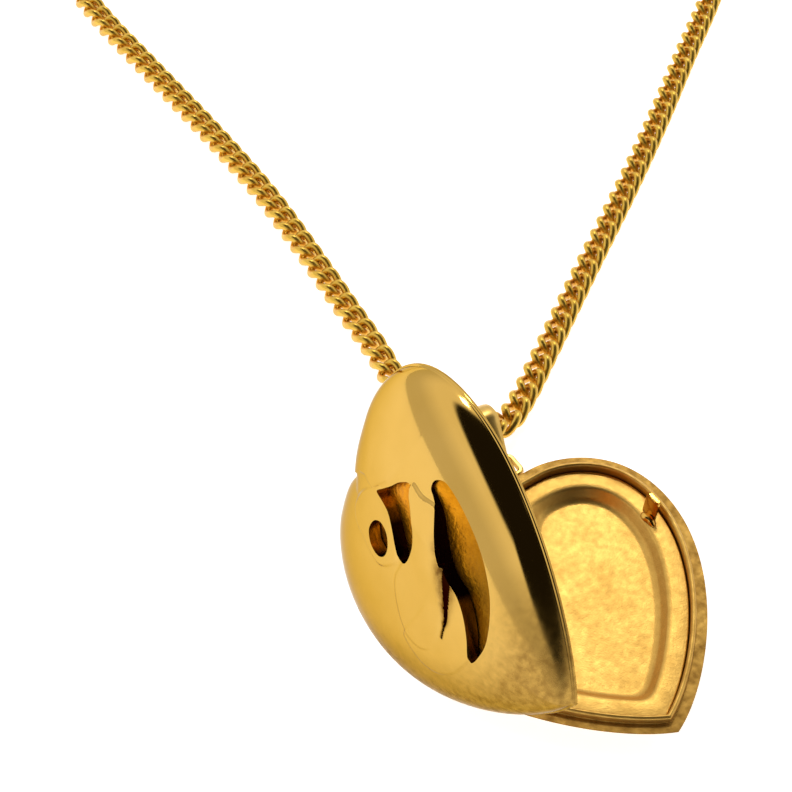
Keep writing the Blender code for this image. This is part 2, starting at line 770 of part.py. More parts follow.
def make_clasp_bolt():
    """The curved bolt that shuts the ring, with its thumb stud."""
    centre = clasp_place(RING_CENTRE_AT, CLASP_Z)
    first = RING_OPEN_START - BOLT_NOSE_DEG
    last = RING_OPEN_START + RING_GAP_DEG + BOLT_TAIL_DEG
    sections = arc_sections(centre, RING_MAJOR, BOLT_R, first, last, BOLT_STEPS, BOLT_SIDES)
    mesh = loft("clasp_bolt", sections)
    bolt = add_object("clasp_bolt", mesh, GOLD, 0.15, origin=centre)
    along = clasp_frame()[1]
    turn = math.atan2(along[1], along[0]) + math.radians(RING_OPEN_START + RING_GAP_DEG + STUD_AT_DEG)
    out = Vector((math.cos(turn), math.sin(turn), 0.0))
    bm = bmesh.new()
    bmesh.ops.create_cone(
        bm, cap_ends=True, segments=STUD_SIDES, radius1=STUD_R, radius2=STUD_R, depth=STUD_LENGTH
    )
    face = Vector((0, 0, 1)).rotation_difference(out).to_matrix().to_4x4()
    place = Matrix.Translation(Vector(centre) + out * (RING_MAJOR + STUD_REACH))
    bmesh.ops.transform(bm, matrix=place @ face, verts=bm.verts)
    boolean(bolt, mesh_from_bmesh("stud", bm), "UNION")


def make_clasp_spring():
    """The small coil behind the bolt, drawn at its pressed length."""
    centre = clasp_place(RING_CENTRE_AT, CLASP_Z)
    along = clasp_frame()[1]
    base = math.atan2(along[1], along[0])
    first = RING_OPEN_START + RING_GAP_DEG + BOLT_TAIL_DEG + BOLT_TRAVEL_DEG + SPRING_GAP_DEG
    last = first + SPRING_ARC_DEG
    steps = SPRING_TURNS * SPRING_TURN_STEPS
    points = []
    for k in range(steps + 1):
        share = k / steps
        turn = base + math.radians(first + (last - first) * share)
        coil = 2 * math.pi * k / SPRING_TURN_STEPS
        radius = RING_MAJOR + SPRING_R * math.cos(coil)
        points.append(
            (centre[0] + radius * math.cos(turn), centre[1] + radius * math.sin(turn),
             centre[2] + SPRING_R * math.sin(coil))
        )
    wire("clasp_spring", points, SPRING_WIRE_R, resolution=SPRING_BEVEL_RES)


def make_clasp_rings():
    """The clasp's own eye lies flat; the two link rings stand on edge and join it to the chain."""
    along3 = tuple(clasp_frame()[1]) + (0.0,)
    left3 = tuple(clasp_frame()[2]) + (0.0,)
    up = (0.0, 0.0, 1.0)
    eye = ring_points(clasp_place(CLASP_EYE_AT, CLASP_Z), along3, left3, CLASP_EYE_R, CLASP_EYE_STEPS)
    wire("clasp_eye", eye, CLASP_EYE_WIRE_R, cyclic=True)
    link_z = LINK_RING_R + LINK_WIRE_R + LINK_LIFT
    for name, at in (("clasp_jump_ring", JUMP_RING_AT), ("tag_jump_ring", TAG_RING_AT)):
        points = ring_points(clasp_place(at, link_z), along3, up, LINK_RING_R, LINK_STEPS)
        wire(name, points, LINK_WIRE_R, cyclic=True)


def hang_on_axis(name, place, children):
    """Parent pieces to an empty on their joint's axis, leaving them where they are."""
    axis = bpy.data.objects.new(name, None)
    axis.location = Vector(place) * MM
    axis.empty_display_size = CHAIN_D * MM
    PARTS.objects.link(axis)
    for child in children:
        piece = bpy.data.objects[child]
        piece.parent = axis
        piece.matrix_parent_inverse = Matrix.Translation(Vector(place) * MM).inverted()


make_back_tray()
make_well_plate()
make_catch_tab()
make_front_cover()
make_cover_liner()
make_hinge()
make_bail_ring()
make_bail()
make_chain()
make_clasp_ring()
make_clasp_bolt()
make_clasp_spring()
make_clasp_rings()
hang_on_axis("chain_swing_axis", CHAIN_SWING, CHAIN_PIECES)
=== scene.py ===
"""Visual model of a heart locket on a curb chain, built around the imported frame."""
import math

import bmesh
import bpy
import numpy as np
from mathutils import Matrix, Vector


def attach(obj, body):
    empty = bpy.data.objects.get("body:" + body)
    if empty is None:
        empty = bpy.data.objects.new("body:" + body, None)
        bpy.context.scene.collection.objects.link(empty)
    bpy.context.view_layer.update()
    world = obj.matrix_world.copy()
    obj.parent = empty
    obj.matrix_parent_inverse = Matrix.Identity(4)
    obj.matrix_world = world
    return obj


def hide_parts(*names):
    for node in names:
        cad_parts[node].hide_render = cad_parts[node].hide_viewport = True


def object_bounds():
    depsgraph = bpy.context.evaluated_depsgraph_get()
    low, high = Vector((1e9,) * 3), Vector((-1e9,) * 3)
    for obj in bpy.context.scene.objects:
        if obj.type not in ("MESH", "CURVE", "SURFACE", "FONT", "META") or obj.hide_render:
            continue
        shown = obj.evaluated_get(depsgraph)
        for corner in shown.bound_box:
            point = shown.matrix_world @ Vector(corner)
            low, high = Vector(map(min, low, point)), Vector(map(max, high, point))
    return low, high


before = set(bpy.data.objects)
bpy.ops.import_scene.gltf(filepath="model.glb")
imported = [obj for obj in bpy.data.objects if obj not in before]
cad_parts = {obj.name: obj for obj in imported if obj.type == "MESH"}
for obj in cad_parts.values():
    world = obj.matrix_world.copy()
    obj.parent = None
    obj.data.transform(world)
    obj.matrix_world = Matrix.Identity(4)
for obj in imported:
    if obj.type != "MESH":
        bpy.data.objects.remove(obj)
cad_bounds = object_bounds()

# ---- Camera
# A short telephoto looking down on the table, with the cover side-on in the left half.
MM = 0.001
VIEW_AZIMUTH = math.radians(-33.11)
VIEW_ELEVATION = math.radians(49.67)
VIEW_DISTANCE = 232.33
VIEW_ASIDE = -18.91
VIEW_ABOVE = 24.23
LENS = 90.909
SENSOR_WIDTH = 36.0
CLIP_START = 0.01

back = Vector(
    (
        math.sin(VIEW_AZIMUTH) * math.cos(VIEW_ELEVATION),
        -math.cos(VIEW_AZIMUTH) * math.cos(VIEW_ELEVATION),
        math.sin(VIEW_ELEVATION),
    )
)
right = Vector((math.cos(VIEW_AZIMUTH), math.sin(VIEW_AZIMUTH), 0.0))
above = back.cross(right)
lens_data = bpy.data.cameras.new("studio_camera")
lens_data.lens = LENS
lens_data.sensor_width = SENSOR_WIDTH
lens_data.clip_start = CLIP_START
camera = bpy.data.objects.new("studio_camera", lens_data)
turn = Matrix((right, above, back)).transposed().to_4x4()
place = (back * VIEW_DISTANCE + right * VIEW_ASIDE + above * VIEW_ABOVE) * MM
camera.matrix_world = Matrix.Translation(place) @ turn
bpy.context.scene.collection.objects.link(camera)
bpy.context.scene.camera = camera
bpy.context.scene.view_settings.view_transform = "Standard"

# ---- Curb chain
# Two strands of oval brass wire links, each twisted so that the chain lies flat, soldered and gold
# plated. They run through the bail, and meet at the clasp on the far side of the loop.
LINK_HALF_LONG = 1.82
LINK_HALF_WIDE = 1.23
LINK_TWIST = -0.83
LINK_WIRE_R = 0.52
LINK_PITCH = 2.6
LINK_STEPS = 36
LINK_SIDES = 12
LINK_DROP = 0.4
# Where the first link's middle lies along a route, and how far the last one's passes its end.
FIRST_LINK = 0.6
LAST_LINK = 0.05
# Spacing of a route's points, how far each way its direction is read, the spacing for the cord's
# path, and the steps of the curve between two given points.
ROUTE_STEP = 0.25
ROUTE_REACH = 0.8
CORD_STEP = 3.0
SPAN_STEPS = 24
# Each strand from inside the bail to the clasp: x, y, z.
ROUTE_LEFT = (
    (5.1, 24.2, 2.85),
    (3.0, 24.2, 2.8),
    (0.6, 25.9, 2.4),
    (0.0, 29.5, 1.9),
    (1.3, 35.0, 1.75),
    (2.8, 42.5, 1.75),
    (3.6, 51.0, 1.75),
    (5.0, 66.0, 1.75),
    (5.7, 77.0, 1.75),
    (5.6, 92.0, 1.75),
    (5.0, 108.0, 1.75),
    (4.5, 122.0, 1.75),
    (5.2, 135.0, 1.75),
    (8.6, 151.0, 1.75),
    (16.5, 166.0, 1.75),
    (29.0, 179.0, 1.75),
    (44.0, 184.8, 1.75),
    (50.7, 185.6, 1.75),
)
ROUTE_RIGHT = (
    (6.5, 24.2, 2.85),
    (8.4, 24.3, 2.83),
    (10.6, 25.0, 2.25),
    (14.4, 27.3, 1.8),
    (20.0, 31.1, 1.75),
    (33.1, 40.1, 1.75),
    (49.6, 51.3, 1.75),
    (61.1, 59.5, 1.75),
    (72.8, 68.2, 1.75),
    (84.0, 76.4, 1.75),
    (97.0, 87.5, 1.75),
    (108.0, 101.5, 1.75),
    (114.2, 118.5, 1.75),
    (114.4, 137.0, 1.75),
    (108.0, 155.5, 1.75),
    (96.5, 172.0, 1.75),
    (81.0, 181.5, 1.75),
    (74.5, 183.4, 1.75),
    (68.2, 184.1, 1.75),
)


def smooth_path(points, step):
    """A centripetal Catmull-Rom curve through the points, read at even spacing."""
    pts = np.array(points, float)
    pts = np.vstack([2 * pts[0] - pts[1], pts, 2 * pts[-1] - pts[-2]])
    fine = []
    for i in range(1, len(pts) - 2):
        a, b, c, d = pts[i - 1:i + 3]
        k0 = 0.0
        k1 = k0 + math.sqrt(np.linalg.norm(b - a))
        k2 = k1 + math.sqrt(np.linalg.norm(c - b))
        k3 = k2 + math.sqrt(np.linalg.norm(d - c))
        for t in np.linspace(k1, k2, SPAN_STEPS, endpoint=False):
            ab = ((k1 - t) * a + (t - k0) * b) / (k1 - k0)
            bc = ((k2 - t) * b + (t - k1) * c) / (k2 - k1)
            cd = ((k3 - t) * c + (t - k2) * d) / (k3 - k2)
            abc = ((k2 - t) * ab + (t - k0) * bc) / (k2 - k0)
            bcd = ((k3 - t) * bc + (t - k1) * cd) / (k3 - k1)
            fine.append(((k2 - t) * abc + (t - k1) * bcd) / (k2 - k1))
    fine.append(pts[-2])
    fine = np.array(fine)
    run = np.concatenate([[0.0], np.cumsum(np.linalg.norm(np.diff(fine, axis=0), axis=1))])
    at = np.linspace(0.0, run[-1], int(round(run[-1] / step)) + 1)
    return np.stack([np.interp(at, run, fine[:, k]) for k in range(3)], 1), run[-1]


def to_linear(hex_colour):
    """An sRGB hex colour as linear RGBA."""
    parts = [int(hex_colour[i:i + 2], 16) / 255 for i in (1, 3, 5)]
    return [c / 12.92 if c <= 0.04045 else ((c + 0.055) / 1.055) ** 2.4 for c in parts] + [1.0]


def add_node(tree, kind, inputs=None, **settings):
    """Add a node; inputs maps a socket to a value, or to another node's output."""
    made = tree.nodes.new(kind)
    for name, value in settings.items():
        setattr(made, name, value)
    for name, value in (inputs or {}).items():
        if isinstance(value, bpy.types.NodeSocket):
            tree.links.new(value, made.inputs[name])
        else:
            made.inputs[name].default_value = value
    return made


# The specks of wear and painted shade: their size, the amount that counts as full, the most they cover
# the gold, and how much they roughen it.
SPECK_MM = 0.9
WEAR_SHADE_FULL = 0.9
WEAR_SHADE_MOST = 0.95
WEAR_SHADE_ROUGHNESS = 0.35


def gold_finish(name, light, dark, roughness, patch_mm, grain_mm, grain_depth_mm, worn_and_shaded=None):
    """Gold over brass: two tones in soft patches, a fine surface grain, and brown wear.

    The wear, and on the cover painted shade, follow the mesh's attribute for wear and painted shade,
    and break up into specks.
    """
    material = bpy.data.materials.new(name)
    material.use_nodes = True
    tree = material.node_tree
    shader = tree.nodes["Principled BSDF"]
    shader.inputs["Metallic"].default_value = 1.0
    spot = add_node(tree, "ShaderNodeTexCoord").outputs["Object"]
    patches = add_node(
        tree, "ShaderNodeTexNoise", {"Vector": spot, "Scale": 1 / (patch_mm * MM), "Detail": 3.0}
    )
    tone = add_node(
        tree,
        "ShaderNodeMix",
        {0: patches.outputs["Fac"], 6: to_linear(light), 7: to_linear(dark)},
        data_type="RGBA",
    )
    grain = add_node(
        tree, "ShaderNodeTexNoise", {"Vector": spot, "Scale": 1 / (grain_mm * MM), "Detail": 2.0}
    )
    bump = add_node(
        tree,
        "ShaderNodeBump",
        {"Height": grain.outputs["Fac"], "Distance": grain_depth_mm * MM, "Strength": 1.0},
    )
    colour = tone.outputs[2]
    low, high = roughness
    gloss = add_node(
        tree, "ShaderNodeMapRange", {"Value": patches.outputs["Fac"], "To Min": low, "To Max": high}
    ).outputs[0]
    if worn_and_shaded:
        amount = add_node(tree, "ShaderNodeAttribute", attribute_name="wear_and_shade").outputs["Fac"]
        specks = add_node(
            tree, "ShaderNodeTexNoise", {"Vector": spot, "Scale": 1 / (SPECK_MM * MM), "Detail": 8.0}
        )
        wear_and_shade_share = add_node(
            tree, "ShaderNodeMath", {0: amount, 1: specks.outputs["Fac"]}, operation="MULTIPLY"
        )
        wear_and_shade_share = add_node(
            tree,
            "ShaderNodeMapRange",
            {"Value": wear_and_shade_share.outputs[0], "From Min": 0.0, "From Max": WEAR_SHADE_FULL, "To Max": WEAR_SHADE_MOST},
        )
        colour = add_node(
            tree, "ShaderNodeMix", {0: wear_and_shade_share.outputs[0], 6: colour, 7: to_linear(worn_and_shaded)}, data_type="RGBA"
        ).outputs[2]
        gloss = add_node(
            tree,
            "ShaderNodeMath",
            {0: wear_and_shade_share.outputs[0], 1: WEAR_SHADE_ROUGHNESS, 2: gloss},
            operation="MULTIPLY_ADD",
        ).outputs[0]
    tree.links.new(colour, shader.inputs["Base Color"])
    tree.links.new(gloss, shader.inputs["Roughness"])
    tree.links.new(bump.outputs["Normal"], shader.inputs["Normal"])
    return material


def solid(name, points, faces, materials, wear_and_shade=None, sharp=40):
    """A shaded-smooth mesh object from points in millimetres."""
    mesh = bpy.data.meshes.new(name)
    mesh.from_pydata((np.asarray(points, float) * MM).tolist(), [], faces)
    for material in materials:
        mesh.materials.append(material)
    if wear_and_shade is not None:
        layer = mesh.attributes.new("wear_and_shade", "FLOAT", "POINT")
        layer.data.foreach_set("value", np.asarray(wear_and_shade, np.float32))
    mesh.shade_smooth()
    mesh.set_sharp_from_angle(angle=math.radians(sharp))
    piece = bpy.data.objects.new(name, mesh)
    bpy.context.scene.collection.objects.link(piece)
    return piece


def skin(count_rows, count, first=0, close_rows=False):
    """Quads between stacked rings of equal count."""
    rows = count_rows if close_rows else count_rows - 1
    faces = []
    for r in range(rows):
        low = first + r * count
        high = first + ((r + 1) % count_rows) * count
        for i in range(count):
            j = (i + 1) % count
            faces.append((low + i, low + j, high + j, high + i))
    return faces


def outward(piece):
    """Turn every face of a closed piece outwards."""
    bm = bmesh.new()
    bm.from_mesh(piece.data)
    bmesh.ops.recalc_face_normals(bm, faces=bm.faces)
    bm.to_mesh(piece.data)
    bm.free()


# Polished plate over drawn wire: warm and saturated, with small soft scuffs.
chain_gold = gold_finish(
    "gold_plated_brass_wire",
    light="#F0C75A",
    dark="#D2A23A",
    roughness=(0.30, 0.44),
    patch_mm=1.6,
    grain_mm=0.35,
    grain_depth_mm=0.004,
)


def link_points(centre, tangent):
    """Rings of wire round one twisted oval link."""
    tangent = tangent / np.linalg.norm(tangent)
    aside = np.cross([0.0, 0.0, 1.0], tangent)
    aside /= np.linalg.norm(aside)
    lift = np.cross(tangent, aside)
    rings = []
    for t in np.linspace(0.0, 2 * math.pi, LINK_STEPS, endpoint=False):
        c, s = math.cos(t), math.sin(t)
        mid = np.array([LINK_HALF_LONG * c, LINK_HALF_WIDE * s, LINK_TWIST * math.sin(2 * t)])
        way = np.array([-LINK_HALF_LONG * s, LINK_HALF_WIDE * c, 2 * LINK_TWIST * math.cos(2 * t)])
        way /= np.linalg.norm(way)
        out = np.array([mid[0], mid[1], 0.0])
        out -= way * (out @ way)
        out /= np.linalg.norm(out)
        side = np.cross(way, out)
        for turn in np.linspace(0.0, 2 * math.pi, LINK_SIDES, endpoint=False):
            p = mid + LINK_WIRE_R * (math.cos(turn) * out + math.sin(turn) * side)
            rings.append(centre + p[0] * tangent + p[1] * aside + p[2] * lift)
    return rings


def make_strand(name, route):
    """One strand of links along a route; gives the piece, and the route's points and length."""
    line, length = smooth_path(route, ROUTE_STEP)
    run = np.linspace(0.0, length, len(line))

    def spot_at(distance):
        return np.array([np.interp(distance, run, line[:, c]) for c in range(3)])

    span = length + LAST_LINK - FIRST_LINK
    count = int(round(span / LINK_PITCH))
    points = []
    faces = []
    for k in range(count + 1):
        at = FIRST_LINK + span * k / count
        spot = spot_at(min(at, length))
        tangent = spot_at(min(at + ROUTE_REACH, length)) - spot_at(min(at, length) - ROUTE_REACH)
        spot += tangent / np.linalg.norm(tangent) * max(0.0, at - length)
        spot[2] -= LINK_DROP
        faces += skin(LINK_STEPS, LINK_SIDES, first=len(points), close_rows=True)
        points += link_points(spot, tangent)
    strand = solid(name, points, faces, [chain_gold])
    outward(strand)
    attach(strand, "chain")
    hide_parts(name.replace("_links", ""))
    return strand, smooth_path(route, CORD_STEP)


left_strand, left_route = make_strand("chain_left_links", ROUTE_LEFT)
right_strand, right_route = make_strand("chain_right_links", ROUTE_RIGHT)

# ---- Floor and light
# White paper on a light table, with one broad soft light and a dark room beyond the far side.
FLOOR_GAP = 0.02
FLOOR_SIZE = 6.0
FIBRE_MM = 0.4
PAPER_GLOW = 0.80
# The room's dark part: how its two bounds run over the directions, and where each fades in.
DARK_LIFT = -0.15
DARK_NEAR_LIFT = 0.9
DARK_NEAR = (-0.45, -1.45)
DARK_LIFT_FADE = (0.73, 0.82)
DARK_SIDE = (0.5, 0.85)
DARK_SIDE_FADE = (0.42, 0.55)
DARK_ROOM = (0.014, 0.012, 0.008, 1.0)
# The pale wall: heights over which it brightens, and its brightness.
WALL_RISE = (0.25, 0.6)
WALL_LIGHT = (0.82, 1.12)
SOFTBOX_WAY = (0.389, 0.460, 0.803)
SOFTBOX_DISTANCE = 0.6
SOFTBOX_SIZE = 0.07
SOFTBOX_POWER = 0.5

floor_z = cad_bounds[0][2] - FLOOR_GAP * MM
bpy.ops.mesh.primitive_plane_add(size=FLOOR_SIZE, location=(0.0, 0.0, floor_z))
floor = bpy.context.object
floor.name = "paper_floor"
# Uncoated paper lit from below: matt, even and almost without shadow.
paper = bpy.data.materials.new("matt_white_paper")
paper.use_nodes = True
fibre = add_node(paper.node_tree, "ShaderNodeTexNoise", {"Scale": 1 / (FIBRE_MM * MM), "Detail": 3.0})
paper_tone = add_node(
    paper.node_tree,
    "ShaderNodeMix",
    {0: fibre.outputs["Fac"], 6: to_linear("#F4F4F2"), 7: to_linear("#FFFFFF")},
    data_type="RGBA",
)
paper_shader = paper.node_tree.nodes["Principled BSDF"]
paper.node_tree.links.new(paper_tone.outputs[2], paper_shader.inputs["Base Color"])
paper_shader.inputs["Roughness"].default_value = 0.9
paper_shader.inputs["Emission Color"].default_value = (1.0, 1.0, 1.0, 1.0)
paper_shader.inputs["Emission Strength"].default_value = PAPER_GLOW
floor.data.materials.append(paper)

world = bpy.data.worlds.new("studio")
bpy.context.scene.world = world
world.use_nodes = True
sky = world.node_tree
direction = add_node(sky, "ShaderNodeTexCoord").outputs["Generated"]
axes = add_node(sky, "ShaderNodeSeparateXYZ", {"Vector": direction})
side = add_node(
    sky, "ShaderNodeMath", {0: axes.outputs["X"], 1: DARK_SIDE[0]}, operation="MULTIPLY"
)
side = add_node(
    sky,
    "ShaderNodeMath",
    {0: axes.outputs["Y"], 1: DARK_SIDE[1], 2: side.outputs[0]},
    operation="MULTIPLY_ADD",
)
lift = add_node(
    sky,
    "ShaderNodeMath",
    {0: axes.outputs["Y"], 1: DARK_LIFT, 2: axes.outputs["Z"]},
    operation="MULTIPLY_ADD",
)
near_lift = add_node(
    sky,
    "ShaderNodeMapRange",
    {
        "Value": axes.outputs["Y"],
        "From Min": DARK_NEAR[0],
        "From Max": DARK_NEAR[1],
        "To Max": DARK_NEAR_LIFT,
    },
)
lift = add_node(
    sky, "ShaderNodeMath", {0: lift.outputs[0], 1: near_lift.outputs[0]}, operation="ADD"
)
shade = 1.0
for bound, fade, ends in ((lift, DARK_LIFT_FADE, (0.0, 1.0)), (side, DARK_SIDE_FADE, (1.0, 0.0))):
    part = add_node(
        sky,
        "ShaderNodeMapRange",
        {
            "Value": bound.outputs[0],
            "From Min": fade[0],
            "From Max": fade[1],
            "To Min": ends[0],
            "To Max": ends[1],
        },
        interpolation_type="SMOOTHSTEP",
    )
    product = add_node(sky, "ShaderNodeMath", {0: part.outputs[0], 1: shade}, operation="MULTIPLY")
    shade = product.outputs[0]
wall = add_node(
    sky,
    "ShaderNodeMapRange",
    {
        "Value": axes.outputs["Z"],
        "From Min": WALL_RISE[0],
        "From Max": WALL_RISE[1],
        "To Min": WALL_LIGHT[0],
        "To Max": WALL_LIGHT[1],
    },
)
room = add_node(
    sky, "ShaderNodeMix", {0: shade, 6: wall.outputs[0], 7: DARK_ROOM}, data_type="RGBA"
)
sky.links.new(room.outputs[2], sky.nodes["Background"].inputs["Color"])

softbox_data = bpy.data.lights.new("softbox", "AREA")
softbox_data.energy = SOFTBOX_POWER
softbox_data.size = SOFTBOX_SIZE
softbox = bpy.data.objects.new("softbox", softbox_data)
softbox_way = Vector(SOFTBOX_WAY).normalized()
softbox.location = softbox_way * SOFTBOX_DISTANCE
softbox.rotation_euler = softbox_way.to_track_quat("Z", "Y").to_euler()
bpy.context.scene.collection.objects.link(softbox)

# ---- Back of the case
# A shallow heart-shaped tray stamped from brass sheet, gold plated, satin inside, with a soldered
# lip that the cover closes over. Handling has browned its rim.
HALF_WIDTH = 19.0
CLEFT_Y = 13.44
LOBE_TOP = (7.9, 16.65)
WIDEST_Y = 4.54
TIP_Y = -21.98
CLEFT_HANDLE = (1.78, 2.98)
LOBE_HANDLES = (4.88, 3.26)
SIDE_HANDLES = (9.7, 11.55)
TIP_HANDLE = (6.95, 2.92)
# Points along half of the outline, and round its cleft once it is moved inwards.
OUTLINE_HALF = 170
CLEFT_STEPS = 24
INSET_SLACK = 2e-3
SHELF_Z = 2.4
LIP_TOP_Z = 3.35
LIP_OUTER = 1.3
LIP_INNER = 1.95


def bezier(p0, p1, p2, p3, steps):
    t = np.linspace(0.0, 1.0, steps)[:, None]
    p0, p1, p2, p3 = (np.array(p, float) for p in (p0, p1, p2, p3))
    return (1 - t) ** 3 * p0 + 3 * (1 - t) ** 2 * t * p1 + 3 * (1 - t) * t * t * p2 + t ** 3 * p3


def half_heart(steps=90):
    """The +X half of the outline, from the cleft over the lobe to the tip."""
    cleft = (0.0, CLEFT_Y)
    widest = (HALF_WIDTH, WIDEST_Y)
    tip = (0.0, TIP_Y)
    over_cleft = bezier(
        cleft,
        (CLEFT_HANDLE[0], CLEFT_Y + CLEFT_HANDLE[1]),
        (LOBE_TOP[0] - LOBE_HANDLES[0], LOBE_TOP[1]),
        LOBE_TOP,
        steps,
    )
    over_lobe = bezier(
        LOBE_TOP,
        (LOBE_TOP[0] + LOBE_HANDLES[1], LOBE_TOP[1]),
        (HALF_WIDTH, WIDEST_Y + SIDE_HANDLES[0]),
        widest,
        steps,
    )
    to_tip = bezier(
        widest,
        (HALF_WIDTH, WIDEST_Y - SIDE_HANDLES[1]),
        (TIP_HANDLE[0], TIP_Y + TIP_HANDLE[1]),
        tip,
        steps,
    )
    return np.vstack([over_cleft, over_lobe[1:], to_tip[1:]])


def line_distance(points, line):
    """How far each point is from a polyline."""
    start, end = line[:-1], line[1:]
    along = end - start
    length2 = (along ** 2).sum(1) + 1e-12
    nearest = np.full(len(points), 1e9)
    for a, v, l2 in zip(start, along, length2):
        t = np.clip(((points - a) @ v) / l2, 0.0, 1.0)
        nearest = np.minimum(nearest, ((points - a - t[:, None] * v) ** 2).sum(1))
    return np.sqrt(nearest)


def inset_outline(distance, soften=0.0):
    """The outline moved inwards by a distance, as one ring; soften rounds its corners, in mm."""
    half = half_heart()
    if distance > 0.0:
        tangent = np.gradient(half, axis=0)
        inward = np.stack([tangent[:, 1], -tangent[:, 0]], 1)
        inward /= np.linalg.norm(inward, axis=1)[:, None]
        moved = half + distance * inward
        first = math.atan2(inward[0, 0], -inward[0, 1])
        swing = np.linspace(0.0, first, CLEFT_STEPS)[:-1]
        cleft = half[0] + distance * np.stack([np.sin(swing), -np.cos(swing)], 1)
        moved = np.vstack([cleft, moved])
        whole = np.vstack([half, (half * [-1, 1])[::-1]])
        keep = (moved[:, 0] >= 0.0) & (line_distance(moved, whole) >= distance - INSET_SLACK)
        moved = moved[keep]
        slope = (moved[-1, 1] - moved[-2, 1]) / (moved[-1, 0] - moved[-2, 0])
        half = np.vstack([moved, [0.0, moved[-1, 1] - slope * moved[-1, 0]]])
        half[0, 0] = 0.0
    run = np.concatenate([[0.0], np.cumsum(np.linalg.norm(np.diff(half, axis=0), axis=1))])
    at = np.linspace(0.0, run[-1], OUTLINE_HALF)
    half = np.stack([np.interp(at, run, half[:, k]) for k in range(2)], 1)
    ring = np.vstack([half * [-1, 1], half[::-1][1:-1]])
    if soften > 0.0:
        wave = np.fft.fftfreq(len(ring), d=2 * run[-1] / len(ring))
        blur = np.exp(-2 * (math.pi * wave * soften) ** 2)
        ring = np.stack([np.real(np.fft.ifft(np.fft.fft(ring[:, k]) * blur)) for k in range(2)], 1)
    return ring


def profile_loft(name, profile, materials, wear_at, soften=None):
    """Skin a heart-shaped body from (inset, height) points; its ends are closed flat."""
    rings = []
    wear_and_shade = []
    for inset, z in profile:
        ring = inset_outline(inset, soften(inset) if soften else 0.0)
        rings.append(np.c_[ring, np.full(len(ring), z)])
        wear_and_shade += [wear_at(inset, z)] * len(ring)
    count = len(rings[0])
    faces = skin(len(rings), count)
    faces.append(tuple(range(count)))
    faces.append(tuple(range((len(rings) - 1) * count, len(rings) * count)))
    piece = solid(name, np.vstack(rings), faces, materials, wear_and_shade)
    outward(piece)
    return piece


def rounded(profile, radius, steps=5, share=0.45):
    """The profile with each corner but the ends rounded, over at most a share of its sides."""
    pts = [np.array(p, float) for p in profile]
    out = [pts[0]]
    for before, corner, after in zip(pts[:-2], pts[1:-1], pts[2:]):
        to_before = np.linalg.norm(before - corner)
        to_after = np.linalg.norm(after - corner)
        r = min(radius, share * to_before, share * to_after)
        a = corner + (before - corner) / to_before * r
        b = corner + (after - corner) / to_after * r
        for t in np.linspace(0.0, 1.0, steps):
            out.append((1 - t) ** 2 * a + 2 * (1 - t) * t * corner + t * t * b)
    out.append(pts[-1])
    return out


# Satin plate over stamped brass: pale and bright, with a fine even speckle.
satin_gold = gold_finish(
    "satin_gold_plated_brass",
    light="#EFC468",
    dark="#DDAA50",
    roughness=(0.28, 0.40),
    patch_mm=3.0,
    grain_mm=0.16,
    grain_depth_mm=0.010,
    worn_and_shaded="#8A6022",
)
TRAY_CORNER_R = 0.12
SHELF_WEAR = 1.0
LIP_WEAR = 0.55
DISH_WEAR = 0.3
tray_profile = rounded(
    [
        (4.2, 0.0),
        (3.2, 0.0),
        (1.3, 1.05),
        (0.4, 1.9),
        (0.05, 2.25),
        (0.0, SHELF_Z),
        (LIP_OUTER, SHELF_Z),
        (LIP_OUTER + 0.05, LIP_TOP_Z - 0.15),
        (LIP_OUTER + 0.25, LIP_TOP_Z),
        (LIP_INNER - 0.2, LIP_TOP_Z),
        (LIP_INNER, LIP_TOP_Z - 0.2),
        (LIP_INNER, 1.5),
        (3.5, 0.4),
        (4.5, 0.4),
    ],
    TRAY_CORNER_R,
)


def tray_wear(inset, z):
    if inset < LIP_OUTER:
        return SHELF_WEAR
    return LIP_WEAR if z > LIP_TOP_Z - 0.25 else DISH_WEAR


tray = profile_loft("case_back", tray_profile, [satin_gold], tray_wear)
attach(tray, "locket")
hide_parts("back_tray")

# ---- Picture plate
# Thin brass sheet pressed with a round-cornered well for the picture, dropped inside the lip.
# The well's floor is the grainiest surface of the case.
PLATE_EDGE = LIP_INNER + 0.15
PLATE_CORNER_R = 0.3
PLATE_WEAR = 0.45
# The well's outline is rounder than the case's: rounding in full, and the insets it grows over.
WELL_SOFT = 1.1
WELL_SOFT_FROM = 2.6
WELL_SOFT_OVER = 2.4
# Pressed and lightly blasted sheet under the plating: pale, mottled and speckled.
plate_gold = gold_finish(
    "grained_gold_plated_sheet",
    light="#EFC468",
    dark="#DDAC52",
    roughness=(0.30, 0.40),
    patch_mm=4.0,
    grain_mm=0.22,
    grain_depth_mm=0.020,
    worn_and_shaded="#A87A34",
)
plate_profile = rounded(
    [
        (6.3, 0.5),
        (5.3, 0.5),
        (4.1, 1.9),
        (PLATE_EDGE, 1.9),
        (PLATE_EDGE, 2.3),
        (4.0, 2.3),
        (4.45, 2.2),
        (5.25, 1.2),
        (5.8, 0.9),
        (6.8, 0.9),
    ],
    PLATE_CORNER_R,
)


def plate_soften(inset):
    return WELL_SOFT * float(np.clip((inset - WELL_SOFT_FROM) / WELL_SOFT_OVER, 0.0, 1.0))


plate = profile_loft(
    "picture_plate", plate_profile, [plate_gold], lambda inset, z: PLATE_WEAR, plate_soften
)
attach(plate, "locket")
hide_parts("well_plate")

# ---- Catch tab
# A springy brass tongue soldered to the plate; it leans out and snaps inside the cover's wall.
TAB_X = 15.4
TAB_Y = 3.4
TAB_FOOT_Z = 2.35
TAB_TALL = 2.8
TAB_THICK = 0.35
TAB_HALF_WIDE = 1.1
TAB_ROWS = 17
# How far it leans outwards at its end and bulges halfway up, and how much its end narrows.
TAB_LEAN = 0.5
TAB_BULGE = 0.105
TAB_NARROW = 0.28
TAB_NARROW_FROM = 0.8
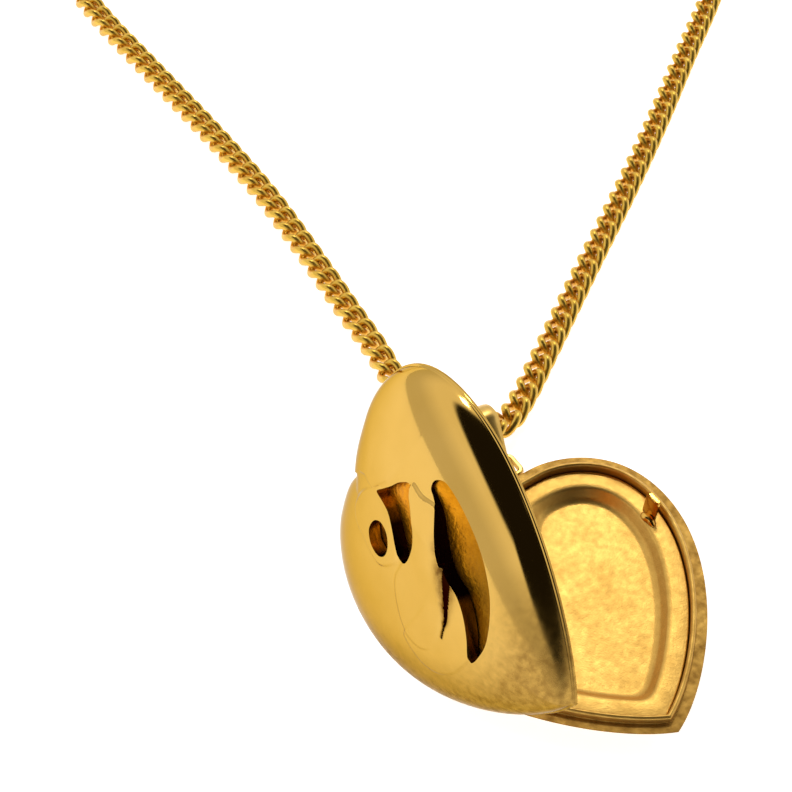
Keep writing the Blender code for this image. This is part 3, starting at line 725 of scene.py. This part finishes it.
# Its rounded corners, across its thickness and along its width.
TAB_ROUND_X = 0.06
TAB_ROUND_Y = 0.08
SOLDER_MIDDLE = (TAB_X - 0.32, TAB_Y - 0.5, 2.3)
SOLDER_REACH = (0.62, 1.25, 0.42)
SOLDER_LUMPS = (0.12, 0.06)
SOLDER_ROWS = 8
SOLDER_SIDES = 28
# Bright plating on hard strip, redder than the plate and with sharper reflections.
tab_gold = gold_finish(
    "bright_gold_plated_spring_strip",
    light="#E8B85A",
    dark="#C08A30",
    roughness=(0.12, 0.22),
    patch_mm=1.0,
    grain_mm=0.2,
    grain_depth_mm=0.006,
)
tab_rings = []
for rise in np.linspace(0.0, 1.0, TAB_ROWS):
    end = max(0.0, (rise - TAB_NARROW_FROM) / (1.0 - TAB_NARROW_FROM))
    wide = TAB_HALF_WIDE - TAB_NARROW * end ** 2
    x_in = TAB_X + TAB_LEAN * rise ** 3 + TAB_BULGE * math.sin(math.pi * rise)
    x_out = x_in + TAB_THICK
    y_low = TAB_Y - wide
    y_high = TAB_Y + wide
    z = TAB_FOOT_Z + TAB_TALL * rise
    tab_rings.append(
        [
            (x_in, y_low + TAB_ROUND_Y, z),
            (x_in + TAB_ROUND_X, y_low, z),
            (x_out - TAB_ROUND_X, y_low, z),
            (x_out, y_low + TAB_ROUND_Y, z),
            (x_out, y_high - TAB_ROUND_Y, z),
            (x_out - TAB_ROUND_X, y_high, z),
            (x_in + TAB_ROUND_X, y_high, z),
            (x_in, y_high - TAB_ROUND_Y, z),
        ]
    )
tab_sides = len(tab_rings[0])
tab_faces = skin(TAB_ROWS, tab_sides)
tab_faces.append(tuple(range(tab_sides)))
tab_faces.append(tuple(range((TAB_ROWS - 1) * tab_sides, TAB_ROWS * tab_sides)))
tab = solid("catch_tongue", np.vstack(tab_rings), tab_faces, [tab_gold])
outward(tab)
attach(tab, "locket")
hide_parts("catch_tab")
solder_rings = []
for swell in np.linspace(0.0, math.pi / 2 - 0.05, SOLDER_ROWS):
    reach = math.cos(swell)
    ring = []
    for s in np.linspace(0.0, 2 * math.pi, SOLDER_SIDES, endpoint=False):
        lump = 1 + SOLDER_LUMPS[0] * math.sin(3 * s + 0.6) + SOLDER_LUMPS[1] * math.sin(5 * s)
        ring.append(
            (
                SOLDER_MIDDLE[0] + SOLDER_REACH[0] * reach * lump * math.cos(s),
                SOLDER_MIDDLE[1] + SOLDER_REACH[1] * reach * lump * math.sin(s),
                SOLDER_MIDDLE[2] + SOLDER_REACH[2] * math.sin(swell),
            )
        )
    solder_rings.append(ring)
solder_faces = skin(SOLDER_ROWS, SOLDER_SIDES)
solder_faces.append(tuple(range(SOLDER_SIDES)))
solder_faces.append(tuple(range((SOLDER_ROWS - 1) * SOLDER_SIDES, SOLDER_ROWS * SOLDER_SIDES)))
solder = solid("tab_solder", np.vstack(solder_rings), solder_faces, [tab_gold])
outward(solder)
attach(solder, "locket")

# ---- Cover
# A domed brass shell, cast with a scroll and petals in relief and pierced by three openings,
# mirror polished and gold plated. It stands open on the hinge at its left edge.
COVER_RIM_Z = 2.55
COVER_HEIGHT = 6.4
COVER_CENTRE = np.array([0.0, -1.0])
COVER_INNER_HEIGHT = 5.15
COVER_WALL_SCALE = 0.947
DOME_POWER = 2.3
OPEN_DEG = 76.6
HINGE = (-19.9, 2.45)
DOME_ANGLES = 720
OUTER_ROWS = 190
DOME_SCALE = 0.991
# The dome's rings lose the outline's cleft and tip: how much, and over which share of the rise.
DOME_ROUNDING = 0.30
MELLOW_FROM = 0.25
MELLOW_OVER = 0.65
# The lowest row that carries relief, and the least step from the bead up to the dome.
RELIEF_ROW = 4
BEAD_STEP = 0.02
# The rolled bead round the foot: share of the outline, height.
RIM_BEAD = (
    (0.996, 2.55),
    (0.999, 2.58),
    (1.0, 2.63),
    (1.0, 2.90),
    (0.9985, 2.97),
    (0.994, 3.01),
)
INNER_ROWS = 40

# Mirror polish under gold: clear dark and bright reflections, brown wear at the rim, and brown painted
# shade on the lower left and by the step.
cover_gold = gold_finish(
    "mirror_polished_gold_plated_brass",
    light="#D9AF5C",
    dark="#CBA04A",
    roughness=(0.06, 0.11),
    patch_mm=6.0,
    grain_mm=0.5,
    grain_depth_mm=0.0012,
    worn_and_shaded="#6E4A1C",
)
# Gold darkens at grazing angles instead of turning white.
cover_shader = cover_gold.node_tree.nodes["Principled BSDF"]
cover_shader.inputs["Specular Tint"].default_value = to_linear("#CDBFA6")
# The cut walls were left as cast: a yellower gold with dull, dark reflections, and painted dark
# reflection in the middle.
recess_gold = gold_finish(
    "gold_recess_wall_painted_dark",
    light="#DDBB48",
    dark="#B09224",
    roughness=(0.12, 0.24),
    patch_mm=1.4,
    grain_mm=0.3,
    grain_depth_mm=0.006,
)
# Painted dark reflection blackens the middle of the openings' walls and leaves their two ends gold.
DARK_REFLECTION_ENDS = (-8.6, -7.9, 3.6, 5.6)
tree = recess_gold.node_tree
recess_shader = tree.nodes["Principled BSDF"]
recess_shader.inputs["Specular Tint"].default_value = to_linear("#5A4630")
recess_tone = recess_shader.inputs["Base Color"].links[0].from_socket
spot = add_node(tree, "ShaderNodeTexCoord").outputs["Object"]
along = add_node(tree, "ShaderNodeSeparateXYZ", {"Vector": spot}).outputs["Y"]
low_end = add_node(
    tree,
    "ShaderNodeMapRange",
    {"Value": along, "From Min": DARK_REFLECTION_ENDS[0] * MM, "From Max": DARK_REFLECTION_ENDS[1] * MM},
)
high_end = add_node(
    tree,
    "ShaderNodeMapRange",
    {"Value": along, "From Min": DARK_REFLECTION_ENDS[3] * MM, "From Max": DARK_REFLECTION_ENDS[2] * MM},
)
painted_reflection = add_node(
    tree, "ShaderNodeMath", {0: low_end.outputs[0], 1: high_end.outputs[0]}, operation="MULTIPLY"
)
painted_reflection_tone = add_node(
    tree,
    "ShaderNodeMix",
    {0: painted_reflection.outputs[0], 6: recess_tone, 7: to_linear("#2A1804")},
    data_type="RGBA",
)
tree.links.new(painted_reflection_tone.outputs[2], recess_shader.inputs["Base Color"])

half_outline = half_heart(400)
outline = np.vstack([half_outline, (half_outline * [-1, 1])[::-1][1:-1]])
outline_angle = np.arctan2(outline[:, 1] - COVER_CENTRE[1], outline[:, 0] - COVER_CENTRE[0])
outline_reach = np.linalg.norm(outline - COVER_CENTRE, axis=1)
order = np.argsort(outline_angle)
angles = np.linspace(-math.pi, math.pi, DOME_ANGLES, endpoint=False)
sharp_reach = np.interp(angles, outline_angle[order], outline_reach[order], period=2 * math.pi)
wave_number = np.fft.fftfreq(DOME_ANGLES, d=1 / DOME_ANGLES)
keep_wave = np.exp(-0.5 * (wave_number * DOME_ROUNDING) ** 2)
round_reach = np.real(np.fft.ifft(np.fft.fft(sharp_reach) * keep_wave))


def dome_ring(quarter, scale, height):
    """A ring of the closed dome at a quarter-turn angle from its foot, softer towards the top."""
    shrink = max(math.cos(quarter), 0.0) ** (2 / DOME_POWER)
    rise = math.sin(quarter) ** (2 / DOME_POWER)
    mellow = float(np.clip((rise - MELLOW_FROM) / MELLOW_OVER, 0.0, 1.0))
    mellow = mellow * mellow * (3 - 2 * mellow)
    reach = (1 - mellow) * sharp_reach + mellow * round_reach
    x = COVER_CENTRE[0] + scale * shrink * reach * np.cos(angles)
    y = COVER_CENTRE[1] + scale * shrink * reach * np.sin(angles)
    return np.stack([x, y, np.full(DOME_ANGLES, COVER_RIM_Z + height * rise)], 1)


def closed_curve(points, per_span=10):
    """A closed Catmull-Rom loop through the points."""
    pts = np.array(points, float)
    n = len(pts)
    out = []
    for i in range(n):
        a, b, c, d = (pts[(i + k) % n] for k in (-1, 0, 1, 2))
        for s in np.arange(per_span) / per_span:
            out.append(
                0.5
                * (
                    2 * b
                    + (c - a) * s
                    + (2 * a - 5 * b + 4 * c - d) * s ** 2
                    + (3 * b - a - 3 * c + d) * s ** 3
                )
            )
    return np.array(out)


def inside(points, loop):
    """Which points lie inside a closed loop, by counting crossings."""
    found = np.zeros(len(points), bool)
    for (x0, y0), (x1, y1) in zip(loop, np.roll(loop, -1, axis=0)):
        if y0 == y1:
            continue
        crosses = (points[:, 1] > min(y0, y1)) & (points[:, 1] <= max(y0, y1))
        at = x0 + (points[:, 1] - y0) * (x1 - x0) / (y1 - y0)
        found ^= crosses & (points[:, 0] < at)
    return found


def raised(points, loop, ramp):
    """0 outside a loop and 1 inside, with a slope of the given width inside its edge."""
    closed = np.vstack([loop, loop[:1]])
    depth = line_distance(points, closed) * np.where(inside(points, loop), 1.0, -1.0)
    share = np.clip(depth / ramp + 0.5, 0.0, 1.0)
    return share * share * (3 - 2 * share)


# Relief outlines, seen from above with the cover closed.
TEARDROP = closed_curve(
    (
        (10.0, 2.9), (9.9, 1.2), (10.3, -0.6), (10.4, -2.4), (8.6, -3.9), (6.4, -4.6), (4.6, -5.1),
        (2.5, -5.9), (0.3, -6.8), (-2.0, -7.0), (-4.0, -6.8), (-6.0, -6.1), (-7.2, -4.6),
        (-7.1, -2.4), (-5.1, -0.5), (-2.2, 0.9), (0.5, 0.6), (3.0, 0.0), (5.2, 0.2), (7.2, 1.4),
        (8.9, 2.9),
    )
)
PETAL = closed_curve(
    (
        (5.3, -5.0), (6.2, -6.6), (5.6, -8.6), (3.6, -10.4), (1.0, -11.7), (-1.6, -11.6), (-3.6, -11.0),
        (-6.2, -9.8), (-8.4, -7.8), (-9.2, -5.4), (-8.4, -2.9), (-7.2, -2.2), (-3.0, -3.6), (2.0, -4.8),
    )
)
SCROLL = closed_curve(
    (
        (4.2, 8.3), (2.6, 9.7), (0.6, 10.7), (-1.2, 10.8), (-2.3, 9.5), (-2.5, 7.5), (-2.9, 5.7),
        (-2.8, 3.8), (-1.4, 2.3), (0.5, 1.4), (2.6, 2.4), (4.2, 3.9), (5.0, 5.2), (5.2, 7.0),
    )
)
RIGHT_LOBE = np.array(
    [
        (0.2, 14.2), (1.6, 12.9), (3.0, 11.9), (4.0, 10.5), (4.1, 8.6), (7.0, 6.5), (13.0, 5.0),
        (22.0, 5.0), (22.0, 22.0), (0.0, 22.0),
    ]
)
LOBE_EDGE = RIGHT_LOBE[:6]
TEARDROP_EDGE = np.array([(9.8, 2.6), (9.4, -1.4), (7.2, -3.2), (5.2, -4.8)])
PETAL_EDGE = np.array([(4.9, -5.4), (4.4, -7.9), (2.8, -9.6), (0.7, -10.8)])


# Each shape's height above the plain dome, the width of its edge's slope, what is added along a
# line and how far from the line that fades.
LOBE_RISE = 0.26
LOBE_SLOPE = 0.3
LOBE_FADE = 4.0
SCROLL_RISE = 0.22
SCROLL_SLOPE = 0.45
TEAR_RISE = 0.10
TEAR_SLOPE = 0.36
TEAR_EDGE_RISE = 0.55
TEAR_FADE = 4.5
PETAL_RISE = 0.12
PETAL_SLOPE = 0.4
PETAL_EDGE_RISE = 0.16
PETAL_FADE = 5.0
STEP_RISE = 0.06
STEP_EDGE_RISE = 0.10
# The teardrop sinks towards its right end: from there, over this, to this share.
TEAR_END_X = 11.0
TEAR_END_OVER = 4.5
TEAR_END_SHARE = 0.2


def near_line(points, line, fade):
    """1 on a line, fading with the distance from it."""
    return np.exp(-((line_distance(points, line) / fade) ** 2))


def relief(points):
    """Height of the relief above the plain dome."""
    lobe = LOBE_RISE * raised(points, RIGHT_LOBE, LOBE_SLOPE)
    lift = lobe * near_line(points, LOBE_EDGE, LOBE_FADE)
    lift += SCROLL_RISE * raised(points, SCROLL, SCROLL_SLOPE)
    by_tear = near_line(points, TEARDROP_EDGE, TEAR_FADE)
    tear = raised(points, TEARDROP, TEAR_SLOPE)
    tear_rise = TEAR_RISE + TEAR_EDGE_RISE * by_tear
    tear_rise *= np.clip((TEAR_END_X - points[:, 0]) / TEAR_END_OVER, TEAR_END_SHARE, 1.0)
    petal = raised(points, PETAL, PETAL_SLOPE)
    petal_rise = PETAL_RISE + PETAL_EDGE_RISE * near_line(points, PETAL_EDGE, PETAL_FADE)
    step = STEP_RISE + STEP_EDGE_RISE * by_tear
    return lift + np.maximum(tear * tear_rise, petal * petal_rise + tear * step)


def turn_open(points):
    """From the closed to the open place, about the hinge."""
    x = points[:, 0] - HINGE[0]
    z = points[:, 2] - HINGE[1]
    c, s = math.cos(math.radians(OPEN_DEG)), math.sin(math.radians(OPEN_DEG))
    return np.stack([HINGE[0] + c * x - s * z, points[:, 1], HINGE[1] + s * x + c * z], 1)


def cut_out(piece, name, plan, bottom, top, materials):
    """Cuts the piece with an upright prism over a plan; the cut walls take the last material."""
    count = len(plan)
    low = np.c_[plan, np.full(count, bottom)]
    high = np.c_[plan, np.full(count, top)]
    faces = skin(2, count) + [tuple(range(count)), tuple(range(count, 2 * count))]
    punch = solid(name, turn_open(np.vstack([low, high])), faces, materials)
    outward(punch)
    for face in punch.data.polygons:
        face.material_index = len(materials) - 1
    cut = piece.modifiers.new(name, "BOOLEAN")
    cut.operation = "DIFFERENCE"
    cut.solver = "EXACT"
    cut.object = punch
    evaluated = piece.evaluated_get(bpy.context.evaluated_depsgraph_get())
    cut_mesh = bpy.data.meshes.new_from_object(evaluated)
    piece.modifiers.clear()
    piece.data = cut_mesh
    bpy.data.objects.remove(punch)


def dome_shell(name, outer, inner, materials, wear_and_shade):
    """A closed shell from the outer rings, foot to top, and the inner rings, foot to top."""
    count = DOME_ANGLES
    rings = outer[::-1] + inner
    points = np.vstack(rings)
    faces = skin(len(rings), count)
    top = len(points)
    crown_out = outer[-1].mean(axis=0)
    crown_in = inner[-1].mean(axis=0)
    points = np.vstack([points, crown_out, crown_in])
    last = (len(rings) - 1) * count
    for i in range(count):
        j = (i + 1) % count
        faces.append((top, j, i))
        faces.append((top + 1, last + i, last + j))
    wear_and_shade = np.concatenate([wear_and_shade, [0.0, 0.0]])
    piece = solid(name, turn_open(points), faces, materials, wear_and_shade)
    outward(piece)
    return piece


quarter_turns = np.linspace(0.0, math.pi / 2, OUTER_ROWS + 1)[:-1]
outer_rings = [dome_ring(q, DOME_SCALE, COVER_HEIGHT) for q in quarter_turns[1:]]
for ring in outer_rings[RELIEF_ROW:]:
    ring[:, 2] += relief(ring[:, :2])
bead_rings = []
for scale, z in RIM_BEAD:
    ring = dome_ring(0.0, scale, 0.0)
    ring[:, 2] = z
    bead_rings.append(ring)
bead_top = RIM_BEAD[-1][1] + BEAD_STEP
outer_rings = bead_rings + [ring for ring in outer_rings if ring[0, 2] > bead_top]
quarter_turns = np.linspace(0.0, math.pi / 2, INNER_ROWS + 1)[:-1]
inner_rings = [dome_ring(q, COVER_WALL_SCALE, COVER_INNER_HEIGHT) for q in quarter_turns]
# The wall is hollowed where the catch snaps in.
CATCH_HOLLOW = 0.5
HOLLOW_X = TAB_X + 0.6
HOLLOW_REACH = 2.4
HOLLOW_FROM_Z = COVER_RIM_Z + 1.0
for ring in inner_rings:
    away = (ring[:, 0] - HOLLOW_X) ** 2 + (ring[:, 1] - TAB_Y) ** 2
    ring[:, 2] += CATCH_HOLLOW * np.exp(-away / HOLLOW_REACH ** 2) * (ring[:, 2] > HOLLOW_FROM_Z)

# Painted shade blackens the step where the petal goes under the teardrop; it tapers downwards.
STEP_LINE = np.array([(7.6, -4.2), (6.4, -5.2), (4.5, -5.9), (2.4, -6.75), (0.2, -7.5), (-2.4, -7.6)])
STEP_HALF_WIDE = 0.62
STEP_ENDS = (-2.4, 4.5)
STEP_LEAST = 0.15


def step_depth(points):
    """Distance from the blackened step over its half width there."""
    along_step = (points[:, 0] - STEP_ENDS[0]) / (STEP_ENDS[1] - STEP_ENDS[0])
    taper = np.clip(along_step, STEP_LEAST, 1.0)
    return line_distance(points[:, :2], STEP_LINE) / (STEP_HALF_WIDE * taper)


# Handling wears the rim; painted shade darkens the lower left of the flank and the edges of the
# blackened step.
FLANK_TOP = 8.5
FLANK_FADE = 2.0
FLANK_LINE = 1.0
FLANK_SLANT = 0.9
FLANK_SPREAD = 15.0
FLANK_SHADE = 1.1
RIM_TOP = 3.0
RIM_FADE = 0.5
RIM_WEAR = 0.5
STEP_SHADE_FROM_Z = 7.0
STEP_SHADE_REACH = 1.9
STEP_SHADE = 2.2
cover_wear_and_shade = []
for ring in outer_rings[::-1] + inner_rings:
    x, y, z = ring.T
    low = np.clip((FLANK_TOP - z) / FLANK_FADE, 0.0, 1.0)
    left = np.clip((FLANK_LINE - x - FLANK_SLANT * y) / FLANK_SPREAD, 0.0, 1.0)
    rim = np.clip((RIM_TOP - z) / RIM_FADE, 0.0, 1.0)
    worn_and_shaded = np.clip(low * left * FLANK_SHADE + RIM_WEAR * rim, 0.0, 1.0)
    if z.max() > STEP_SHADE_FROM_Z:
        worn_and_shaded = worn_and_shaded + STEP_SHADE * np.exp(-((step_depth(ring) / STEP_SHADE_REACH) ** 2))
    cover_wear_and_shade.append(worn_and_shaded)
cover_finishes = [cover_gold, recess_gold]
cover = dome_shell(
    "pierced_cover", outer_rings, inner_rings, cover_finishes, np.concatenate(cover_wear_and_shade)
)
# The step's faces take the recess finish, whose painted dark reflection blackens them.
for k in np.flatnonzero(step_depth(np.vstack(outer_rings[::-1])) < 1.0):
    cover.data.polygons[k].material_index = 1

# The three openings, seen from above with the cover closed, and the heights they are cut between.
PIERCE_FROM_Z = COVER_RIM_Z + 0.4
PIERCE_TO_Z = COVER_RIM_Z + COVER_HEIGHT + 2.0
PIERCINGS = {
    "scroll_eye": (
        (2.2, 5.3), (1.2, 6.5), (-0.5, 6.9), (-1.7, 6.0),
        (-1.9, 4.4), (-1.0, 3.3), (0.5, 3.1), (1.9, 3.9),
    ),
    "inner_crescent": (
        (9.5, 3.3), (8.5, 4.7), (6.9, 5.8), (5.6, 6.8), (4.7, 7.4), (4.6, 6.0), (4.3, 4.6),
        (3.2, 3.3), (1.8, 2.1), (0.7, 1.1), (1.3, 0.0), (3.1, -0.4), (4.9, -0.2), (6.7, 0.8),
        (8.2, 2.2),
    ),
    "outer_crescent": (
        (12.4, 0.6), (13.1, -0.6), (12.7, -2.7), (11.8, -4.9), (10.6, -7.0), (9.0, -9.0),
        (6.6, -11.0), (3.7, -12.3), (0.8, -12.7), (-2.2, -11.8), (0.6, -10.7), (2.7, -9.4),
        (4.1, -7.8), (4.8, -5.8), (6.1, -4.1), (7.7, -2.7), (9.1, -1.7), (10.2, -0.9),
        (10.9, -0.1), (11.4, 0.6),
    ),
}
for opening, outline_points in PIERCINGS.items():
    loop = closed_curve(outline_points)
    cut_out(cover, opening, loop, PIERCE_FROM_Z, PIERCE_TO_Z, cover_finishes)
COVER_SHARP_DEG = 48
cover.data.set_sharp_from_angle(angle=math.radians(COVER_SHARP_DEG))
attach(cover, "cover")
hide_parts("front_cover")

# ---- Cover liner
# A rough unpolished brass dome fixed behind the openings. Old lacquer has turned it deep orange.
# The scale and height of its two sides, and the quarter turn at which it starts.
LINER_OUTER = (0.915, 5.02)
LINER_INNER = (0.885, 4.60)
LINER_FOOT = 0.32
LINER_ROWS = 61
# Painted shade darkens the floor towards the tip: it starts here, is full there, and is this strong.
LINER_SHADE_ENDS = (-2.0, -9.0)
LINER_SHADE_MOST = 0.8
# Orange lacquer over a hammered face, whose bumps are drawn a little coarser than real.
liner_gold = gold_finish(
    "lacquered_unpolished_brass",
    light="#F0A01C",
    dark="#C07408",
    roughness=(0.30, 0.50),
    patch_mm=1.3,
    grain_mm=0.5,
    grain_depth_mm=0.10,
)
tree = liner_gold.node_tree
liner_shader = tree.nodes["Principled BSDF"]
liner_tone = liner_shader.inputs["Base Color"].links[0].from_socket
spot = add_node(tree, "ShaderNodeTexCoord").outputs["Object"]
along = add_node(tree, "ShaderNodeSeparateXYZ", {"Vector": spot}).outputs["Y"]
liner_shade = add_node(
    tree,
    "ShaderNodeMapRange",
    {
        "Value": along,
        "From Min": LINER_SHADE_ENDS[0] * MM,
        "From Max": LINER_SHADE_ENDS[1] * MM,
        "To Max": LINER_SHADE_MOST,
    },
)
liner_shade_tone = add_node(
    tree,
    "ShaderNodeMix",
    {0: liner_shade.outputs[0], 6: liner_tone, 7: to_linear("#6B4A0A")},
    data_type="RGBA",
)
tree.links.new(liner_shade_tone.outputs[2], liner_shader.inputs["Base Color"])
liner_quarters = np.linspace(LINER_FOOT, math.pi / 2, LINER_ROWS)[:-1]
liner_outer = [dome_ring(q, *LINER_OUTER) for q in liner_quarters]
liner_inner = [dome_ring(q, *LINER_INNER) for q in liner_quarters]
# The floor climbs towards the upper ends of both crescents: place, height and reach.
RISES = ((12.0, 0.2, 1.0, 2.6), (6.2, 4.4, 0.45, 3.2))
for ring in liner_outer:
    for x, y, height, reach in RISES:
        away = (ring[:, 0] - x) ** 2 + (ring[:, 1] - y) ** 2
        ring[:, 2] += height * np.exp(-away / reach ** 2)
no_wear = np.zeros(2 * len(liner_outer) * DOME_ANGLES)
liner = dome_shell("cover_floor", liner_outer, liner_inner, [liner_gold], no_wear)
# A notch in its edge lets the catch through.
NOTCH_LOW = (14.6, 1.7)
NOTCH_HIGH = (19.4, 5.1)
notch_plan = [
    NOTCH_LOW,
    (NOTCH_HIGH[0], NOTCH_LOW[1]),
    NOTCH_HIGH,
    (NOTCH_LOW[0], NOTCH_HIGH[1]),
]
notch_top = COVER_RIM_Z + COVER_HEIGHT
cut_out(liner, "catch_notch", notch_plan, COVER_RIM_Z, notch_top, [liner_gold])
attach(liner, "cover")
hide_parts("cover_liner")

# ---- Hinge
# Three turned knuckles on a brass pin, soldered to the left edges of the tray and the cover.
# Turned and plated without polishing: bright, with a slightly broken reflection.
hinge_gold = gold_finish(
    "turned_gold_plated_brass",
    light="#DDAA4C",
    dark="#B98530",
    roughness=(0.16, 0.28),
    patch_mm=1.5,
    grain_mm=0.3,
    grain_depth_mm=0.004,
)
for node_name in ("tray_knuckle_lower", "tray_knuckle_upper", "cover_knuckle", "hinge_pin"):
    for slot in bpy.data.objects[node_name].material_slots:
        slot.material = hinge_gold

# ---- Bail and its eye
# A tapering strap folded round the eye's bar and the chain, burnished, with a crowned face.
BAIL_X = 5.8
EYE_BAR = np.array([20.0, 2.0])
BAIL_LOOP = np.array([24.85, 2.9])
BAIL_LOOP_R = 2.4
STRAP_THICK = 0.5
EYE_BAR_R = 0.4
EYE_BAR_PLAY = 0.1
# Its width at the eye, and what it gains towards the loop.
STRAP_NARROW = 1.15
STRAP_GAIN = 3.15
STRAP_CROWN = 0.14
STRAP_OUT_ROUND = 0.1
STRAP_IN_ROUND = 0.08
STRAP_ROUND_POWER = 8
STRAP_ACROSS = 13
LOOP_STEPS = 60
EYE_STEPS = 32
BAIL_SHARP_DEG = 50
# Burnished rather than polished: a soft broad sheen in a paler, slightly pinker gold.
bail_gold = gold_finish(
    "burnished_gold_plated_strap",
    light="#E0B868",
    dark="#CC9F4A",
    roughness=(0.26, 0.36),
    patch_mm=2.0,
    grain_mm=0.3,
    grain_depth_mm=0.003,
)
small_r = EYE_BAR_R + EYE_BAR_PLAY + STRAP_THICK / 2
gap = BAIL_LOOP - EYE_BAR
lean = math.atan2(gap[1], gap[0])
wrap = math.acos((small_r - BAIL_LOOP_R) / np.linalg.norm(gap))
rest = 2 * math.pi - 2 * wrap
stations = []
for k in range(LOOP_STEPS + 1):
    stations.append((BAIL_LOOP, BAIL_LOOP_R, lean - wrap + 2 * wrap * k / LOOP_STEPS))
for k in range(EYE_STEPS + 1):
    stations.append((EYE_BAR, small_r, lean + wrap + rest * k / EYE_STEPS))
bail_rings = []
for centre, radius, angle in stations:
    out = np.array([math.cos(angle), math.sin(angle)])
    share = float(np.clip((centre[0] + out[0] * radius - EYE_BAR[0]) / gap[0], 0.0, 1.0))
    half = (STRAP_NARROW + STRAP_GAIN * math.sin(share * math.pi / 2)) / 2
    ring = []
    for side in np.linspace(-1.0, 1.0, STRAP_ACROSS):
        crown = STRAP_CROWN * share * (side * side)
        worn_edge = STRAP_OUT_ROUND * abs(side) ** STRAP_ROUND_POWER
        mid = centre + out * (radius + STRAP_THICK / 2 - crown - worn_edge)
        ring.append((BAIL_X + half * side, mid[0], mid[1]))
    for side in np.linspace(1.0, -1.0, STRAP_ACROSS):
        worn_edge = STRAP_IN_ROUND * abs(side) ** STRAP_ROUND_POWER
        mid = centre + out * (radius - STRAP_THICK / 2 + worn_edge)
        ring.append((BAIL_X + half * side, mid[0], mid[1]))
    bail_rings.append(ring)
bail_faces = skin(len(bail_rings), 2 * STRAP_ACROSS, close_rows=True)
bail = solid("folded_bail", np.vstack(bail_rings), bail_faces, [bail_gold], sharp=BAIL_SHARP_DEG)
outward(bail)
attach(bail, "bail")
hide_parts("bail")
for slot in bpy.data.objects["bail_ring"].material_slots:
    slot.material = bail_gold

# ---- Clasp
# A spring ring of drawn tube with a sliding bolt, its eye, and two jump rings that join it to the
# chain's ends.
# The spring alone is bare steel: grey, bright and slightly streaky.
spring_steel = gold_finish(
    "bright_spring_steel",
    light="#B8B8B4",
    dark="#8E8E8A",
    roughness=(0.2, 0.3),
    patch_mm=0.8,
    grain_mm=0.2,
    grain_depth_mm=0.003,
)
clasp_nodes = ("clasp_ring", "clasp_bolt", "clasp_eye", "clasp_jump_ring", "tag_jump_ring")
for node_name in clasp_nodes:
    for slot in bpy.data.objects[node_name].material_slots:
        slot.material = chain_gold
for slot in bpy.data.objects["clasp_spring"].material_slots:
    slot.material = spring_steel
